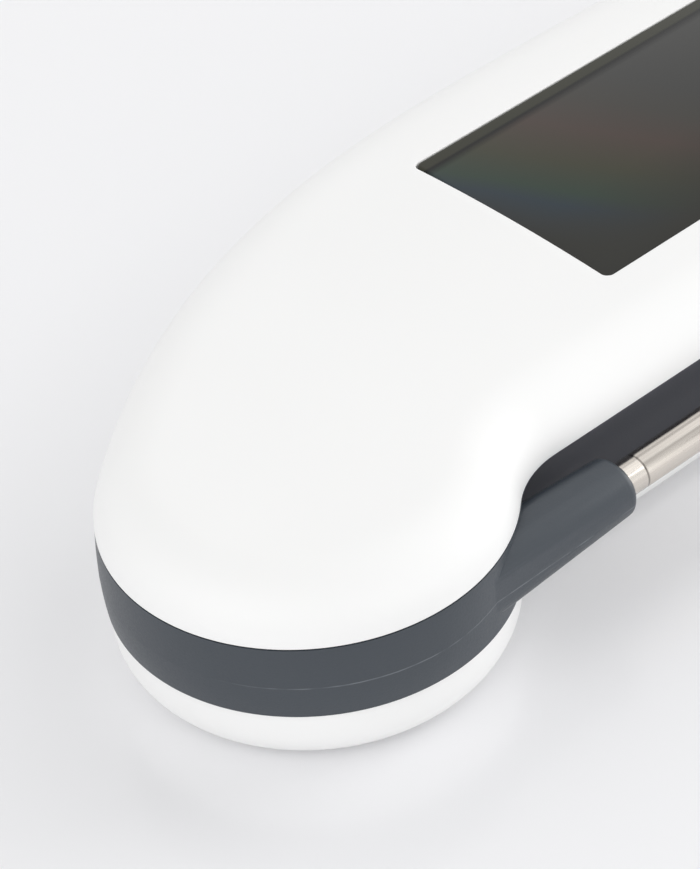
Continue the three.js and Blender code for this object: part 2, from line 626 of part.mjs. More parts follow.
const coverZ = [coverSink, coverSink + coverWall];
const coverHeadZ = coverSink + 0.1;
const coverHeadHeight = 0.8;
const coverPlate = solid(roundedPlate(coverX, coverY, coverCorner, coverZ))
  .subtract(solid(disc(screwRadius + screwGap, [-1, floorWall], coverScrew.x, coverScrew.y, 12)))
  .subtract(solid(disc(screwHeadRadius + screwGap, [-1, coverHeadZ + coverHeadHeight],
    coverScrew.x, coverScrew.y, 16)));
addPiece(thermometer, 'battery_cover', 'shell', surface(coverPlate));
const sealBand = coverLedge - 2 * fitGap;
addPiece(thermometer, 'battery_cover_seal', 'rubber', roundedFrame(
  [bayX[0] - sealBand - fitGap, coverX[1] - fitGap], grown(coverY, -fitGap), coverCorner, sealBand,
  [coverZ[1] + stackGap, coverZ[1] + stackGap + coverSeal]));

function screw({ x, y }, headZ, headHeight, tipZ) {
  const seatZ = headZ + headHeight - 0.05;
  return turned([
    [0, headZ], [screwHeadRadius - screwEdge, headZ], [screwHeadRadius, headZ + screwEdge],
    [screwHeadRadius, seatZ], [screwRadius, seatZ], [screwRadius, tipZ - screwPoint],
    [screwRadius * 0.5, tipZ], [0, tipZ],
  ], x, y, 16);
}
caseScrews.forEach((spot, i) => {
  addPiece(thermometer, `case_screw_${i + 1}`, 'plated',
    screw(spot, screwSink, screwHeadHeight, roofZ - screwRoof));
});
addPiece(thermometer, 'battery_cover_screw', 'plated',
  screw(coverScrew, coverHeadZ, coverHeadHeight, baseHeight - 0.2));

const settingsZ = chipZ(3.8);
let settingsBlock = solid(block(settingsX, settingsY, settingsZ));
const sliderMidY = (settingsY[0] + settingsY[1]) / 2;
const sliderSpots = [0, 1].map((i) => settingsX[0] + 2.4 + i * sliderPitch);
for (const x of sliderSpots) {
  const slotReach = sliderTravel / 2 + sliderSize / 2 + 0.1;
  const slotY = [sliderMidY - slotReach, sliderMidY + slotReach];
  settingsBlock = settingsBlock.subtract(
    solid(block([x - sliderSize / 2 - 0.1, x + sliderSize / 2 + 0.1], slotY, [0, settingsZ[0] + 1])));
}
addPiece(thermometer, 'settings_block', 'chip', surface(settingsBlock));
sliderSpots.forEach((x, i) => {
  const y = [sliderMidY - sliderTravel / 2 - sliderSize / 2, sliderMidY - sliderTravel / 2 + sliderSize / 2];
  addPiece(thermometer, `settings_slider_${i + 1}`, 'diffuser',
    block([x - sliderSize / 2, x + sliderSize / 2], y, [settingsZ[0] - 0.4, settingsZ[0] + 0.8]));
});

// Bead that seals the seam between the shells, just inside their walls.
function caseGasket() {
  const z = [partingZ - 0.8, partingZ + 0.8];
  const outer = insetPlan(plan, wall + beadInset);
  const inner = insetPlan(plan, wall + beadReach);
  let bead = solid(loft([{ plan: outer, z: z[0] }, { plan: outer, z: z[1] }]))
    .subtract(solid(loft([{ plan: inner, z: z[0] - 1 }, { plan: inner, z: z[1] + 1 }])))
    .subtract(swingSpace(deckWall + 0.2, [0, caseTopZ]));
  for (const { x, y } of caseScrews) {
    bead = bead.subtract(solid(disc(bossRadius + fitGap, [z[0] - 1, z[1] + 1], x, y, 16)));
  }
  return bead;
}
addPiece(thermometer, 'case_gasket', 'rubber', surface(caseGasket()));

export default thermometer;
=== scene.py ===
import math

import bmesh
import bpy
from mathutils import Matrix, Vector


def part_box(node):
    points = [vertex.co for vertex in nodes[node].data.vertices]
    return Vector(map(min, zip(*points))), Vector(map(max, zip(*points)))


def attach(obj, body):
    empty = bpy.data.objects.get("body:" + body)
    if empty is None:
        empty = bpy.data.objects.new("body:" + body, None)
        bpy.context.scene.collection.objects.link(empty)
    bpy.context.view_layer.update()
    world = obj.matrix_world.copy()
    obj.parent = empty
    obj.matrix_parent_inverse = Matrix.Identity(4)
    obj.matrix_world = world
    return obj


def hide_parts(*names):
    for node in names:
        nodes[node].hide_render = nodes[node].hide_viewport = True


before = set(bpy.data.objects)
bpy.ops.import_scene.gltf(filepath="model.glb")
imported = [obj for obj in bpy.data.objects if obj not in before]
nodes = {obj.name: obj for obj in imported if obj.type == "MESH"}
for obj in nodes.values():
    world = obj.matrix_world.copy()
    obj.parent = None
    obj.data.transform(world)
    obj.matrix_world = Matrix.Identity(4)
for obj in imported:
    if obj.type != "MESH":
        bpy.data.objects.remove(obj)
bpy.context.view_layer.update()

mm = 0.001

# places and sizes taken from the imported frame
caseLow, caseHigh = (Vector(corner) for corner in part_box("front_shell"))
rearLow = Vector(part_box("rear_shell")[0])
drumLow, drumHigh = (Vector(corner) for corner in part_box("probe_hub_upper"))
drumFoot = Vector(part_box("probe_hub_lower")[0])
tubeLow, tubeHigh = (Vector(corner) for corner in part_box("probe_tube"))
tipLow, tipHigh = (Vector(corner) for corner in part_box("probe_tip"))
linerLow, linerHigh = (Vector(corner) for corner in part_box("channel_liner"))
paneLow, paneHigh = (Vector(corner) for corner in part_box("display_window"))
coverLow, coverHigh = (Vector(corner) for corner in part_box("battery_cover"))

hubRadius = -caseLow.x
partingZ = drumLow.z
stemY = (tubeLow.y + tubeHigh.y) / 2
stemRadius = (tubeHigh.y - tubeLow.y) / 2
stemZ = (tubeLow.z + tubeHigh.z) / 2
shellGap = 0.1 * mm                       # drum faces to the shells
past = 1 * mm                             # cutting tools reach past the faces they cut
touch = 0.01 * mm                         # nearer than this counts as lying on a face
bandTopZ = drumHigh.z + shellGap
bandLowZ = drumFoot.z - shellGap

print("frame loaded:", len(nodes), "nodes")


# ---------- small helpers for working in edit mode

def pickNothing():
    if bpy.context.object and bpy.context.object.mode != "OBJECT":
        bpy.ops.object.mode_set(mode="OBJECT")
    bpy.ops.object.select_all(action="DESELECT")


def takeUp(piece):
    pickNothing()
    piece.select_set(True)
    bpy.context.view_layer.objects.active = piece


def openEdit(piece, kind="FACE"):
    takeUp(piece)
    bpy.ops.object.mode_set(mode="EDIT")
    bpy.ops.mesh.select_mode(type=kind)


def closeEdit():
    bpy.ops.object.mode_set(mode="OBJECT")


def pick(piece, kind, wanted):
    # kind is "faces" or "edges"; returns how many were picked
    mesh = bmesh.from_edit_mesh(piece.data)
    parts = getattr(mesh, kind)
    for part in parts:
        part.select_set(False)
    count = 0
    for part in parts:
        if wanted(part):
            part.select_set(True)
            count += 1
    bmesh.update_edit_mesh(piece.data)
    return count


def pickEdges(piece, wanted):
    return pick(piece, "edges", wanted)


def keepPlace(piece):
    takeUp(piece)
    bpy.ops.object.transform_apply(location=True, rotation=True, scale=True)


def faceOut(piece):
    openEdit(piece)
    bpy.ops.mesh.select_all(action="SELECT")
    bpy.ops.mesh.remove_doubles(threshold=0.0005 * mm)
    bpy.ops.mesh.normals_make_consistent(inside=False)
    closeEdit()


def cutWith(piece, tool, how="DIFFERENCE"):
    takeUp(piece)
    step = piece.modifiers.new("cut", "BOOLEAN")
    step.operation = how
    step.solver = "EXACT"
    step.object = tool
    bpy.ops.object.modifier_apply(modifier=step.name)
    bpy.data.objects.remove(tool)


def smoothed(piece, angle=32):
    takeUp(piece)
    bpy.ops.object.shade_smooth_by_angle(angle=math.radians(angle))


def slab(name, plan, lowZ, highZ):
    pickNothing()
    bpy.ops.mesh.primitive_circle_add(vertices=len(plan), radius=hubRadius, fill_type="NGON")
    piece = bpy.context.object
    piece.name = name
    for vertex, point in zip(piece.data.vertices, plan):
        vertex.co = (point.x, point.y, lowZ)
    openEdit(piece)
    bpy.ops.mesh.select_all(action="SELECT")
    bpy.ops.mesh.extrude_region_move(TRANSFORM_OT_translate={"value": (0, 0, highZ - lowZ)})
    closeEdit()
    faceOut(piece)
    return piece


def block(name, low, high):
    pickNothing()
    middle = [(a + b) / 2 for a, b in zip(low, high)]
    bpy.ops.mesh.primitive_cube_add(size=1, location=middle)
    piece = bpy.context.object
    piece.name = name
    piece.scale = [b - a for a, b in zip(low, high)]
    keepPlace(piece)
    return piece


def post(name, radius, lowZ, highZ, x=0.0, y=0.0, sides=48):
    pickNothing()
    bpy.ops.mesh.primitive_cylinder_add(
        vertices=sides, radius=radius, depth=highZ - lowZ, location=(x, y, (lowZ + highZ) / 2))
    piece = bpy.context.object
    piece.name = name
    keepPlace(piece)
    return piece


def roundedBlock(name, low, high, corner, steps=8):
    piece = block(name, low, high)
    openEdit(piece, "EDGE")
    pickEdges(piece, lambda edge: abs(edge.verts[0].co.z - edge.verts[1].co.z) > touch)
    bpy.ops.mesh.bevel(offset=corner, segments=steps, affect="EDGES")
    closeEdit()
    return piece


def turned(name, profile, centre, axis="Z", sides=64):
    # profile is a closed run of (radius, height) corners, spun about the axis through centre
    pickNothing()
    bpy.ops.mesh.primitive_circle_add(vertices=len(profile), radius=hubRadius, fill_type="NOTHING")
    piece = bpy.context.object
    piece.name = name
    for vertex, (radius, height) in zip(piece.data.vertices, profile):
        if axis == "Z":
            vertex.co = (centre[0] + radius, centre[1], centre[2] + height)
        else:
            vertex.co = (centre[0] + height, centre[1] + radius, centre[2])
    openEdit(piece, "VERT")
    bpy.ops.mesh.select_all(action="SELECT")
    spinAxis = (0, 0, 1) if axis == "Z" else (1, 0, 0)
    bpy.ops.mesh.spin(steps=sides, angle=math.tau, center=centre, axis=spinAxis)
    bpy.ops.mesh.select_all(action="SELECT")
    bpy.ops.mesh.remove_doubles(threshold=0.001 * mm)
    bpy.ops.mesh.dissolve_degenerate(threshold=0.0005 * mm)
    bpy.ops.mesh.delete_loose()
    bpy.ops.mesh.select_all(action="SELECT")
    bpy.ops.mesh.normals_make_consistent(inside=False)
    closeEdit()
    return piece


# ---------- plan of the case, shared by both covers and the liner

caseShape = {
    "leaveAngle": math.radians(131),      # where the far side leaves the drum circle
    "channelEdge": 3.15 * mm,             # stem axis to the straight edge
    "fillet": 9 * mm,
    "sideX": 44 * mm,
    "buttCorner": 16 * mm,
    "buttMidY": 8 * mm,
    "wall": 2 * mm,
    "floor": 2.6 * mm,
    "deck": 1.5 * mm,
    "swing": 0.4 * mm,
    "channelDepth": 5 * mm,
    "channelPast": 3.5 * mm,              # stem point to the end of the channel
    "buttPull": 18 * mm,
    "sidePull": 50 * mm,
    "sideBack": 24 * mm,
    "joinPull": 19.5 * mm,
}
channelEdgeY = stemY + caseShape["channelEdge"]
channelBackY = channelEdgeY + caseShape["channelDepth"]
channelEndX = tipHigh.x + caseShape["channelPast"]


def arcRun(centreX, centreY, radius, start, end, steps):
    turns = [start + (end - start) * i / steps for i in range(steps)]
    return [Vector((centreX + radius * math.cos(a), centreY + radius * math.sin(a))) for a in turns]


def curveRun(a, b, c, d, steps):
    run = []
    for i in range(steps):
        t = i / steps
        s = 1 - t
        run.append(a * s ** 3 + b * 3 * s * s * t + c * 3 * s * t * t + d * t ** 3)
    return run


def casePlan():
    shape = caseShape
    filletReach = hubRadius + shape["fillet"]
    filletY = channelEdgeY - shape["fillet"]
    filletX = math.sqrt(filletReach ** 2 - filletY ** 2)
    leave = math.atan2(filletY, filletX)
    cornerX = caseHigh.x - shape["buttCorner"]
    pull = shape["buttCorner"] * 0.56
    a = shape["leaveAngle"]
    join = Vector((hubRadius * math.cos(a), hubRadius * math.sin(a)))
    butt = Vector((caseHigh.x, shape["buttMidY"]))
    side = Vector((shape["sideX"], caseHigh.y))
    points = arcRun(filletX, filletY, shape["fillet"], leave + math.pi, math.pi / 2, 20)
    points += curveRun(
        Vector((filletX, channelEdgeY)), Vector((filletX * 0.67 + cornerX * 0.33, channelEdgeY)),
        Vector((filletX * 0.33 + cornerX * 0.67, channelEdgeY)), Vector((cornerX, channelEdgeY)), 24)
    points += curveRun(
        Vector((cornerX, channelEdgeY)), Vector((cornerX + pull, channelEdgeY)),
        butt - Vector((0, pull)), butt, 28)
    points += curveRun(butt, butt + Vector((0, shape["buttPull"])),
                       side + Vector((shape["sidePull"], 0)), side, 56)
    points += curveRun(
        side, side - Vector((shape["sideBack"], 0)),
        join + Vector((math.sin(a), -math.cos(a))) * shape["joinPull"], join, 44)
    points += arcRun(0, 0, hubRadius, a, leave + math.tau, 108)
    return points


def drawnIn(plan, distance):
    result = []
    for i, point in enumerate(plan):
        arrive = (point - plan[i - 1]).normalized()
        depart = (plan[(i + 1) % len(plan)] - point).normalized()
        inward = Vector((-arrive.y - depart.y, arrive.x + depart.x)).normalized()
        spread = inward.dot(Vector((-arrive.y, arrive.x)))
        result.append(point + inward * (distance / spread))
    return result


outline = casePlan()
seamBevel = 0.08 * mm      # softened edges where the two covers meet


def onSeam(edge):
    # outer edges at the parting plane, where one cover stands on the other
    return all(abs(v.co.z - partingZ) < touch
               and any((v.co.xy - spot).length < 0.02 * mm for spot in outline) for v in edge.verts)


def swingTool(grow, lowZ, highZ):
    # the space that the drum, the arm and the stem's channel need between the covers
    reach = hubRadius * 3
    radius = hubRadius + caseShape["swing"] + grow
    tool = post("swingTool", radius, lowZ, highZ, sides=160)
    cutWith(tool, block("swingSide", (-reach, -reach, lowZ), (0, radius, highZ)), "UNION")
    channel = block("swingChannel", (hubRadius / 2, -reach, lowZ),
                    (channelEndX + grow, channelBackY + grow, highZ))
    cutWith(tool, channel, "UNION")
    return tool


middleLine = {"startX": -5 * mm, "run": 40 * mm, "shift": 7 * mm, "backX": 44 * mm, "back": 2 * mm}


def centreLine(x):
    # middle of the case across, from the drum to the butt end
    line = middleLine
    blend = max(0.0, min(1.0, (x - line["startX"]) / line["run"]))
    blend = blend * blend * (3 - 2 * blend)
    back = max(0.0, (x - line["backX"]) / (caseHigh.x - line["backX"]))
    return line["shift"] * blend - line["back"] * back


frontCover = {"edge": 5.4 * mm, "edgeSteps": 16, "crown": 1.0 * mm, "gridX": 4 * mm, "gridY": 3 * mm,
              "rim": 0.09 * mm, "rimSteps": 2, "windowCorner": 0.7 * mm, "windowEdge": 0.22 * mm,
              "flange": 1.5 * mm, "hollowEdge": 2.6 * mm, "crownAcross": 20 * mm, "crownNear": 24 * mm,
              "crownFarX": 112 * mm, "crownFar": 34 * mm, "crownMost": 1.4, "bossInRoof": 0.2 * mm}
windowLow = paneLow + Vector((1, 1, 0)) * frontCover["flange"]
windowHigh = paneHigh - Vector((1, 1, 0)) * frontCover["flange"]


def crownTop(piece, topZ):
    # the flat top is cut into a grid and settled into a shallow crown
    size = frontCover
    openEdit(piece)

    def isTop(face):
        return face.normal.z > 0.999 and face.calc_center_median().z > topZ - touch

    x = caseLow.x + size["gridX"]
    while x < caseHigh.x:
        if pick(piece, "faces", isTop):
            bpy.ops.mesh.bisect(plane_co=(x, 0, 0), plane_no=(1, 0, 0))
        x += size["gridX"]
    y = caseLow.y + size["gridY"]
    while y < caseHigh.y:
        if pick(piece, "faces", isTop):
            bpy.ops.mesh.bisect(plane_co=(0, y, 0), plane_no=(0, 1, 0))
        y += size["gridY"]
    closeEdit()
    for vertex in piece.data.vertices:
        point = vertex.co
        rise = max(0.0, min(1.0, (point.z - bandTopZ) / (topZ - bandTopZ)))
        across = (point.y - centreLine(point.x)) / size["crownAcross"]
        far = max(0.0, point.x - size["crownFarX"]) / size["crownFar"]
        along = max(0.0, -point.x) / size["crownNear"] + far
        point.z -= size["crown"] * min(size["crownMost"], across ** 2 + along ** 2) * rise ** 2


fasteners = {"boss": 2.6 * mm, "hole": 1.1 * mm, "headHole": 2.15 * mm, "headDeep": 1.35 * mm,
             "spindleHole": 4.3 * mm, "spareDepth": 0.5 * mm}


def onRim(point):
    shape = caseShape
    radius = math.hypot(point.x, point.y)
    filletY = channelEdgeY - shape["fillet"]
    filletX = math.sqrt((hubRadius + shape["fillet"]) ** 2 - filletY ** 2)
    onDrum = abs(radius - hubRadius) < 0.03 * mm
    onEdge = abs(point.y - channelEdgeY) < 0.02 * mm and point.x > filletX - 0.1 * mm
    onFillet = abs(math.hypot(point.x - filletX, point.y - filletY) - shape["fillet"]) < 0.03 * mm
    return onDrum or onEdge or (onFillet and point.y > filletY and point.x < filletX)


def makeFrontCover():
    size = frontCover
    shape = caseShape
    topZ = caseHigh.z
    roofZ = topZ - shape["wall"]
    deckZ = bandTopZ + shape["deck"]
    piece = slab("frontCover", outline, partingZ, topZ)
    openEdit(piece, "EDGE")
    pickEdges(piece, lambda edge: all(v.co.z > topZ - touch for v in edge.verts))
    bpy.ops.mesh.bevel(offset=size["edge"], segments=size["edgeSteps"], profile=0.5, affect="EDGES")
    closeEdit()
    crownTop(piece, topZ)
    hollow = slab("hollow", drawnIn(outline, shape["wall"]), partingZ - past, roofZ)
    openEdit(hollow, "EDGE")
    pickEdges(hollow, lambda edge: all(v.co.z > roofZ - touch for v in edge.verts))
    bpy.ops.mesh.bevel(offset=size["hollowEdge"], segments=4, profile=0.5, affect="EDGES")
    closeEdit()
    cutWith(hollow, swingTool(shape["deck"], 0, deckZ))
    cutWith(piece, hollow)
    for i in range(4):
        low, high = (Vector(corner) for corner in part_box(f"case_screw_{i + 1}"))
        x, y = (low.x + high.x) / 2, (low.y + high.y) / 2
        bossTop = roofZ + size["bossInRoof"]
        cutWith(piece, post("boss", fasteners["boss"], partingZ, bossTop, x, y, 32), "UNION")
        cutWith(piece, post("bossHole", fasteners["hole"], partingZ - past, high.z + past, x, y, 24))
    cutWith(piece, swingTool(0, -past, bandTopZ))
    cutWith(piece, post("spindleHole", fasteners["spindleHole"], bandTopZ - past,
                        deckZ + fasteners["spareDepth"]))
    window = roundedBlock("windowHole", (windowLow.x, windowLow.y, roofZ - past),
                          (windowHigh.x, windowHigh.y, topZ + past), size["windowCorner"])
    cutWith(piece, window)
    openEdit(piece, "EDGE")
    rim = pickEdges(piece, lambda edge: all(
        abs(v.co.z - bandTopZ) < touch and onRim(v.co) for v in edge.verts))
    bpy.ops.mesh.bevel(offset=size["rim"], segments=size["rimSteps"], affect="EDGES")
    lip = pickEdges(piece, lambda edge: len(edge.link_faces) == 2
                    and all(v.co.z > topZ - 0.7 * mm for v in edge.verts)
                    and edge.calc_face_angle(0) > math.radians(60))
    bpy.ops.mesh.bevel(offset=size["windowEdge"], segments=3, affect="EDGES")
    seam = pickEdges(piece, onSeam)
    bpy.ops.mesh.bevel(offset=seamBevel, segments=2, affect="EDGES")
    closeEdit()
    smoothed(piece)
    print("front cover:", rim, "rim edges,", lip, "window edges,", seam, "seam edges")
    return piece


rearCover = {"edge": 4 * mm, "edgeSteps": 12, "draft": 0.45 * mm, "rim": 0.12 * mm,
             "coverCorner": 4 * mm, "ledge": 1.5 * mm, "seat": 1.9 * mm, "gap": 0.1 * mm,
             "bayBefore": 3 * mm}


def makeRearCover():
    size = rearCover
    shape = caseShape
    deckZ = bandLowZ - shape["deck"]
    baseZ = rearLow.z
    piece = slab("rearCover", outline, baseZ, partingZ)
    for vertex, point in zip(piece.data.vertices, drawnIn(outline, size["draft"])):
        if abs(vertex.co.z - baseZ) < touch:
            vertex.co = (point.x, point.y, baseZ)
    openEdit(piece, "EDGE")
    pickEdges(piece, lambda edge: all(v.co.z < baseZ + touch for v in edge.verts))
    bpy.ops.mesh.bevel(offset=size["edge"], segments=size["edgeSteps"], profile=0.5, affect="EDGES")
    closeEdit()
    hollow = slab("hollow", drawnIn(outline, shape["wall"] + size["draft"]), shape["floor"],
                  partingZ + past)
    cutWith(hollow, swingTool(shape["deck"], deckZ, partingZ + 2 * past))
    cutWith(piece, hollow)
    for i in range(4):
        low, high = (Vector(corner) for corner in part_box(f"case_screw_{i + 1}"))
        x, y = (low.x + high.x) / 2, (low.y + high.y) / 2
        cutWith(piece, post("boss", fasteners["boss"], shape["floor"] / 2, partingZ, x, y, 32), "UNION")
        cutWith(piece, post("bossHole", fasteners["hole"], -past, partingZ + past, x, y, 24))
        cutWith(piece, post("headHole", fasteners["headHole"], -past, low.z + fasteners["headDeep"],
                            x, y, 40))
    cutWith(piece, swingTool(0, bandLowZ, caseHigh.z))
    cutWith(piece, post("spindleHole", fasteners["spindleHole"], deckZ - fasteners["spareDepth"],
                        bandLowZ + past))
    gap = size["gap"]
    seat = roundedBlock("coverSeat", (coverLow.x - gap, coverLow.y - gap, -past),
                        (coverHigh.x + gap, coverHigh.y + gap, size["seat"]), size["coverCorner"])
    cutWith(piece, seat)
    ledge = size["ledge"]
    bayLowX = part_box("battery")[0][0] - size["bayBefore"]
    bay = roundedBlock("bayHole", (bayLowX, coverLow.y + ledge, -past),
                       (coverHigh.x - ledge, coverHigh.y - ledge, shape["floor"] + past),
                       size["coverCorner"] - ledge)
    cutWith(piece, bay)
    openEdit(piece, "EDGE")
    rim = pickEdges(piece, lambda edge: all(abs(v.co.z - bandLowZ) < touch for v in edge.verts)
                    and len(edge.link_faces) == 2 and edge.calc_face_angle(0) > math.radians(60)
                    and not onRimInside(edge))
    bpy.ops.mesh.bevel(offset=size["rim"], segments=3, affect="EDGES")
    seam = pickEdges(piece, onSeam)
    bpy.ops.mesh.bevel(offset=seamBevel, segments=2, affect="EDGES")
    closeEdit()
    smoothed(piece)
    print("rear cover:", rim, "rim edges,", seam, "seam edges")
    return piece


def onRimInside(edge):
    # edges of the deck that lie inside the case, away from the outer wall
    middle = (edge.verts[0].co + edge.verts[1].co) / 2
    radius = math.hypot(middle.x, middle.y)
    if middle.x > hubRadius * 0.75:
        return middle.y > channelEdgeY + 0.6 * mm
    if middle.y > hubRadius * 0.7:
        return True
    return radius < hubRadius - 0.8 * mm


hub = {"sides": 216, "armWidth": 5.6 * mm, "endDrop": 1.95 * mm, "endRise": 2.95 * mm,
       "endNarrow": 0.25 * mm, "round": 2.3 * mm, "endRound": 0.8 * mm, "flash": 0.03 * mm,
       "draft": 0.17 * mm, "armStart": 2.5 * mm, "bore": 4.4 * mm, "cavity": 13.6 * mm,
       "cavityHalf": 1.6 * mm, "stemPlay": 0.06 * mm, "sealInner": 14.6 * mm, "sealOuter": 16 * mm,
       "sealDeep": 1.1 * mm, "bulgeCuts": (0.02, 0.25, 0.5, 0.75)}


def makeHub():
    # drum and arm as one body, then parted at mid height into two mouldings
    size = hub
    lowZ, highZ = drumFoot.z, drumHigh.z
    armEnd = drumHigh.x
    outerY = stemY - size["armWidth"] / 2 - 0.1 * mm
    innerY = stemY + size["armWidth"] / 2
    drum = post("drum", hubRadius, lowZ, highZ, sides=size["sides"])
    arm = block("arm", (size["armStart"], outerY, lowZ), (armEnd, innerY, highZ))
    for vertex in arm.data.vertices:
        if vertex.co.x > armEnd - 0.1 * mm:
            lift = size["endRise"] if vertex.co.z > partingZ else -size["endDrop"]
            vertex.co.z = partingZ + lift
            vertex.co.y += size["endNarrow"] if vertex.co.y < stemY else -size["endNarrow"]
    openEdit(arm, "EDGE")
    pickEdges(arm, lambda edge: abs(edge.verts[0].co.x - edge.verts[1].co.x) > 5 * mm)
    bpy.ops.mesh.bevel(offset=size["round"], segments=9, profile=0.5, affect="EDGES")
    pickEdges(arm, lambda edge: all(v.co.x > armEnd - touch for v in edge.verts))
    bpy.ops.mesh.bevel(offset=size["endRound"], segments=6, profile=0.5, affect="EDGES")
    closeEdit()
    cutWith(drum, arm, "UNION")
    cutWith(drum, post("bore", size["bore"], 0, caseHigh.z, sides=48))
    cavityLow, cavityHigh = partingZ - size["cavityHalf"], partingZ + size["cavityHalf"]
    cutWith(drum, post("cavity", size["cavity"], cavityLow, cavityHigh, sides=96))
    pickNothing()
    bpy.ops.mesh.primitive_cylinder_add(
        vertices=48, radius=stemRadius + size["stemPlay"], depth=armEnd, rotation=(0, math.pi / 2, 0),
        location=(size["armStart"] + armEnd / 2, stemY, stemZ))
    stemBore = bpy.context.object
    keepPlace(stemBore)
    cutWith(drum, stemBore)
    for z in (highZ - size["sealDeep"], lowZ - past):
        ring = post("sealRing", size["sealOuter"], z, z + size["sealDeep"] + past, sides=96)
        cutWith(ring, post("sealCore", size["sealInner"], z - past, z + 4 * past, sides=96))
        cutWith(drum, ring)
    halves = {}
    for name, clearUp in (("hubUpper", False), ("hubLower", True)):
        half = drum.copy()
        half.data = drum.data.copy()
        half.name = name
        bpy.context.collection.objects.link(half)
        openEdit(half)
        bpy.ops.mesh.select_all(action="SELECT")
        bpy.ops.mesh.bisect(plane_co=(0, 0, partingZ), plane_no=(0, 0, 1), use_fill=True,
                            clear_outer=clearUp, clear_inner=not clearUp)
        edgeZ = lowZ if clearUp else highZ
        for share in size["bulgeCuts"]:
            cutZ = partingZ + (edgeZ - partingZ) * share
            bpy.ops.mesh.select_all(action="SELECT")
            bpy.ops.mesh.bisect(plane_co=(0, 0, cutZ), plane_no=(0, 0, 1))
        closeEdit()
        halves[name] = half
    bpy.data.objects.remove(drum)
    addDraft(halves["hubUpper"], highZ - partingZ, size["flash"])
    addDraft(halves["hubLower"], partingZ - lowZ, 0.0)
    for half in halves.values():
        smoothed(half, 26)
    print("hub: two mouldings,", len(halves["hubUpper"].data.polygons), "faces in the upper")
    return halves["hubUpper"], halves["hubLower"]


def addDraft(piece, height, flash):
    # both mouldings swell to where they part, and the upper carries an uneven witness of the mould
    for vertex in piece.data.vertices:
        point = vertex.co.copy()
        away = abs(point.z - partingZ)
        atRim = math.hypot(point.x, point.y) > hubRadius - 0.05 * mm
        onDrum = atRim and (point.x < 4 * mm or point.y > 0)
        onArm = point.x > 4 * mm and point.y < stemY - 1.2 * stemRadius
        if onDrum:
            outward = Vector((point.x, point.y, 0)).normalized()
            fade = 1.0 if point.y > 0 else max(0.0, min(1.0, (4.5 * mm - point.x) / (5 * mm)))
            vertex.co += outward * hub["draft"] * fade * (1 - (away / height) ** 2)
        if away < touch and flash and (onDrum or onArm):
            outward = Vector((point.x, point.y, 0)).normalized() if onDrum else Vector((0.02, -1, 0))
            run = math.atan2(point.y, point.x) * hubRadius / mm + max(0.0, point.x / mm)
            wave = 0.55 + 0.25 * math.sin(run * 1.7) + 0.2 * math.sin(run * 4.3 + 1.0)
            vertex.co += outward * flash * wave


liner = {"gap": 0.3 * mm, "edge": 0.1 * mm, "armRoom": 0.9 * mm, "armSlant": 3.6 * mm, "grooveSides": 72,
         "grooveHigh": 3.75 * mm, "grooveRise": 0.35 * mm, "endWall": 1.3 * mm, "endGap": 0.1 * mm}


def makeLiner():
    size = liner
    reach = hubRadius * 3
    piece = slab("channelLining", drawnIn(outline, size["gap"]), linerLow.z, linerHigh.z)
    endGap = size["endGap"]
    keep = block("keep", (hubRadius * 0.6, -reach, linerLow.z - past),
                 (channelEndX - endGap, channelBackY - endGap, linerHigh.z + past))
    cutWith(piece, keep, "INTERSECT")
    cutWith(piece, post("drumRoom", hubRadius + caseShape["swing"], 0, caseHigh.z, sides=160))
    roomY = stemY + hub["armWidth"] / 2 + size["armRoom"]
    armRoom = block("armRoom", (0, -reach, 0), (drumHigh.x + caseShape["swing"], roomY, caseHigh.z))
    for vertex in armRoom.data.vertices:
        if vertex.co.x < 1 * mm and vertex.co.y > -reach + 1 * mm:
            vertex.co.y += size["armSlant"]
    cutWith(piece, armRoom)
    pickNothing()
    long = channelEndX - size["endWall"]
    bpy.ops.mesh.primitive_cylinder_add(
        vertices=size["grooveSides"], radius=1, depth=long, rotation=(0, math.pi / 2, 0),
        location=(long / 2, stemY, partingZ + size["grooveRise"]))
    groove = bpy.context.object
    groove.scale = (size["grooveHigh"], caseShape["channelEdge"] * 2, 1)
    keepPlace(groove)
    cutWith(piece, groove)
    openEdit(piece, "EDGE")

    def isLip(edge):
        sharp = len(edge.link_faces) == 2 and edge.calc_face_angle(0) > math.radians(50)
        return sharp and all(v.co.z > linerHigh.z - touch and v.co.y < channelBackY - 1 * mm
                             and v.co.x < channelEndX - 1 * mm for v in edge.verts)

    lips = pickEdges(piece, isLip)
    bpy.ops.mesh.bevel(offset=size["edge"], segments=3, affect="EDGES", clamp_overlap=True)
    closeEdit()
    smoothed(piece, 35)
    print("channel lining:", len(piece.data.polygons), "faces,", lips, "lip edges")
    return piece


pane = {"gap": 0.1 * mm, "corner": 0.7 * mm, "edge": 0.16 * mm, "edgeSteps": 3, "flangeHigh": 0.9 * mm}


def makePane():
    size = pane
    gap = Vector((1, 1, 0)) * size["gap"]
    low, high = windowLow + gap, windowHigh - gap
    piece = roundedBlock("windowPane", (low.x, low.y, paneLow.z), (high.x, high.y, paneHigh.z),
                         size["corner"])
    openEdit(piece, "EDGE")
    pickEdges(piece, lambda edge: all(v.co.z > paneHigh.z - touch for v in edge.verts))
    bpy.ops.mesh.bevel(offset=size["edge"], segments=size["edgeSteps"], affect="EDGES")
    closeEdit()
    flangeTop = (paneHigh.x, paneHigh.y, paneLow.z + size["flangeHigh"])
    flange = roundedBlock("paneFlange", tuple(paneLow), flangeTop, size["corner"])
    cutWith(piece, flange, "UNION")
    smoothed(piece)
    return piece


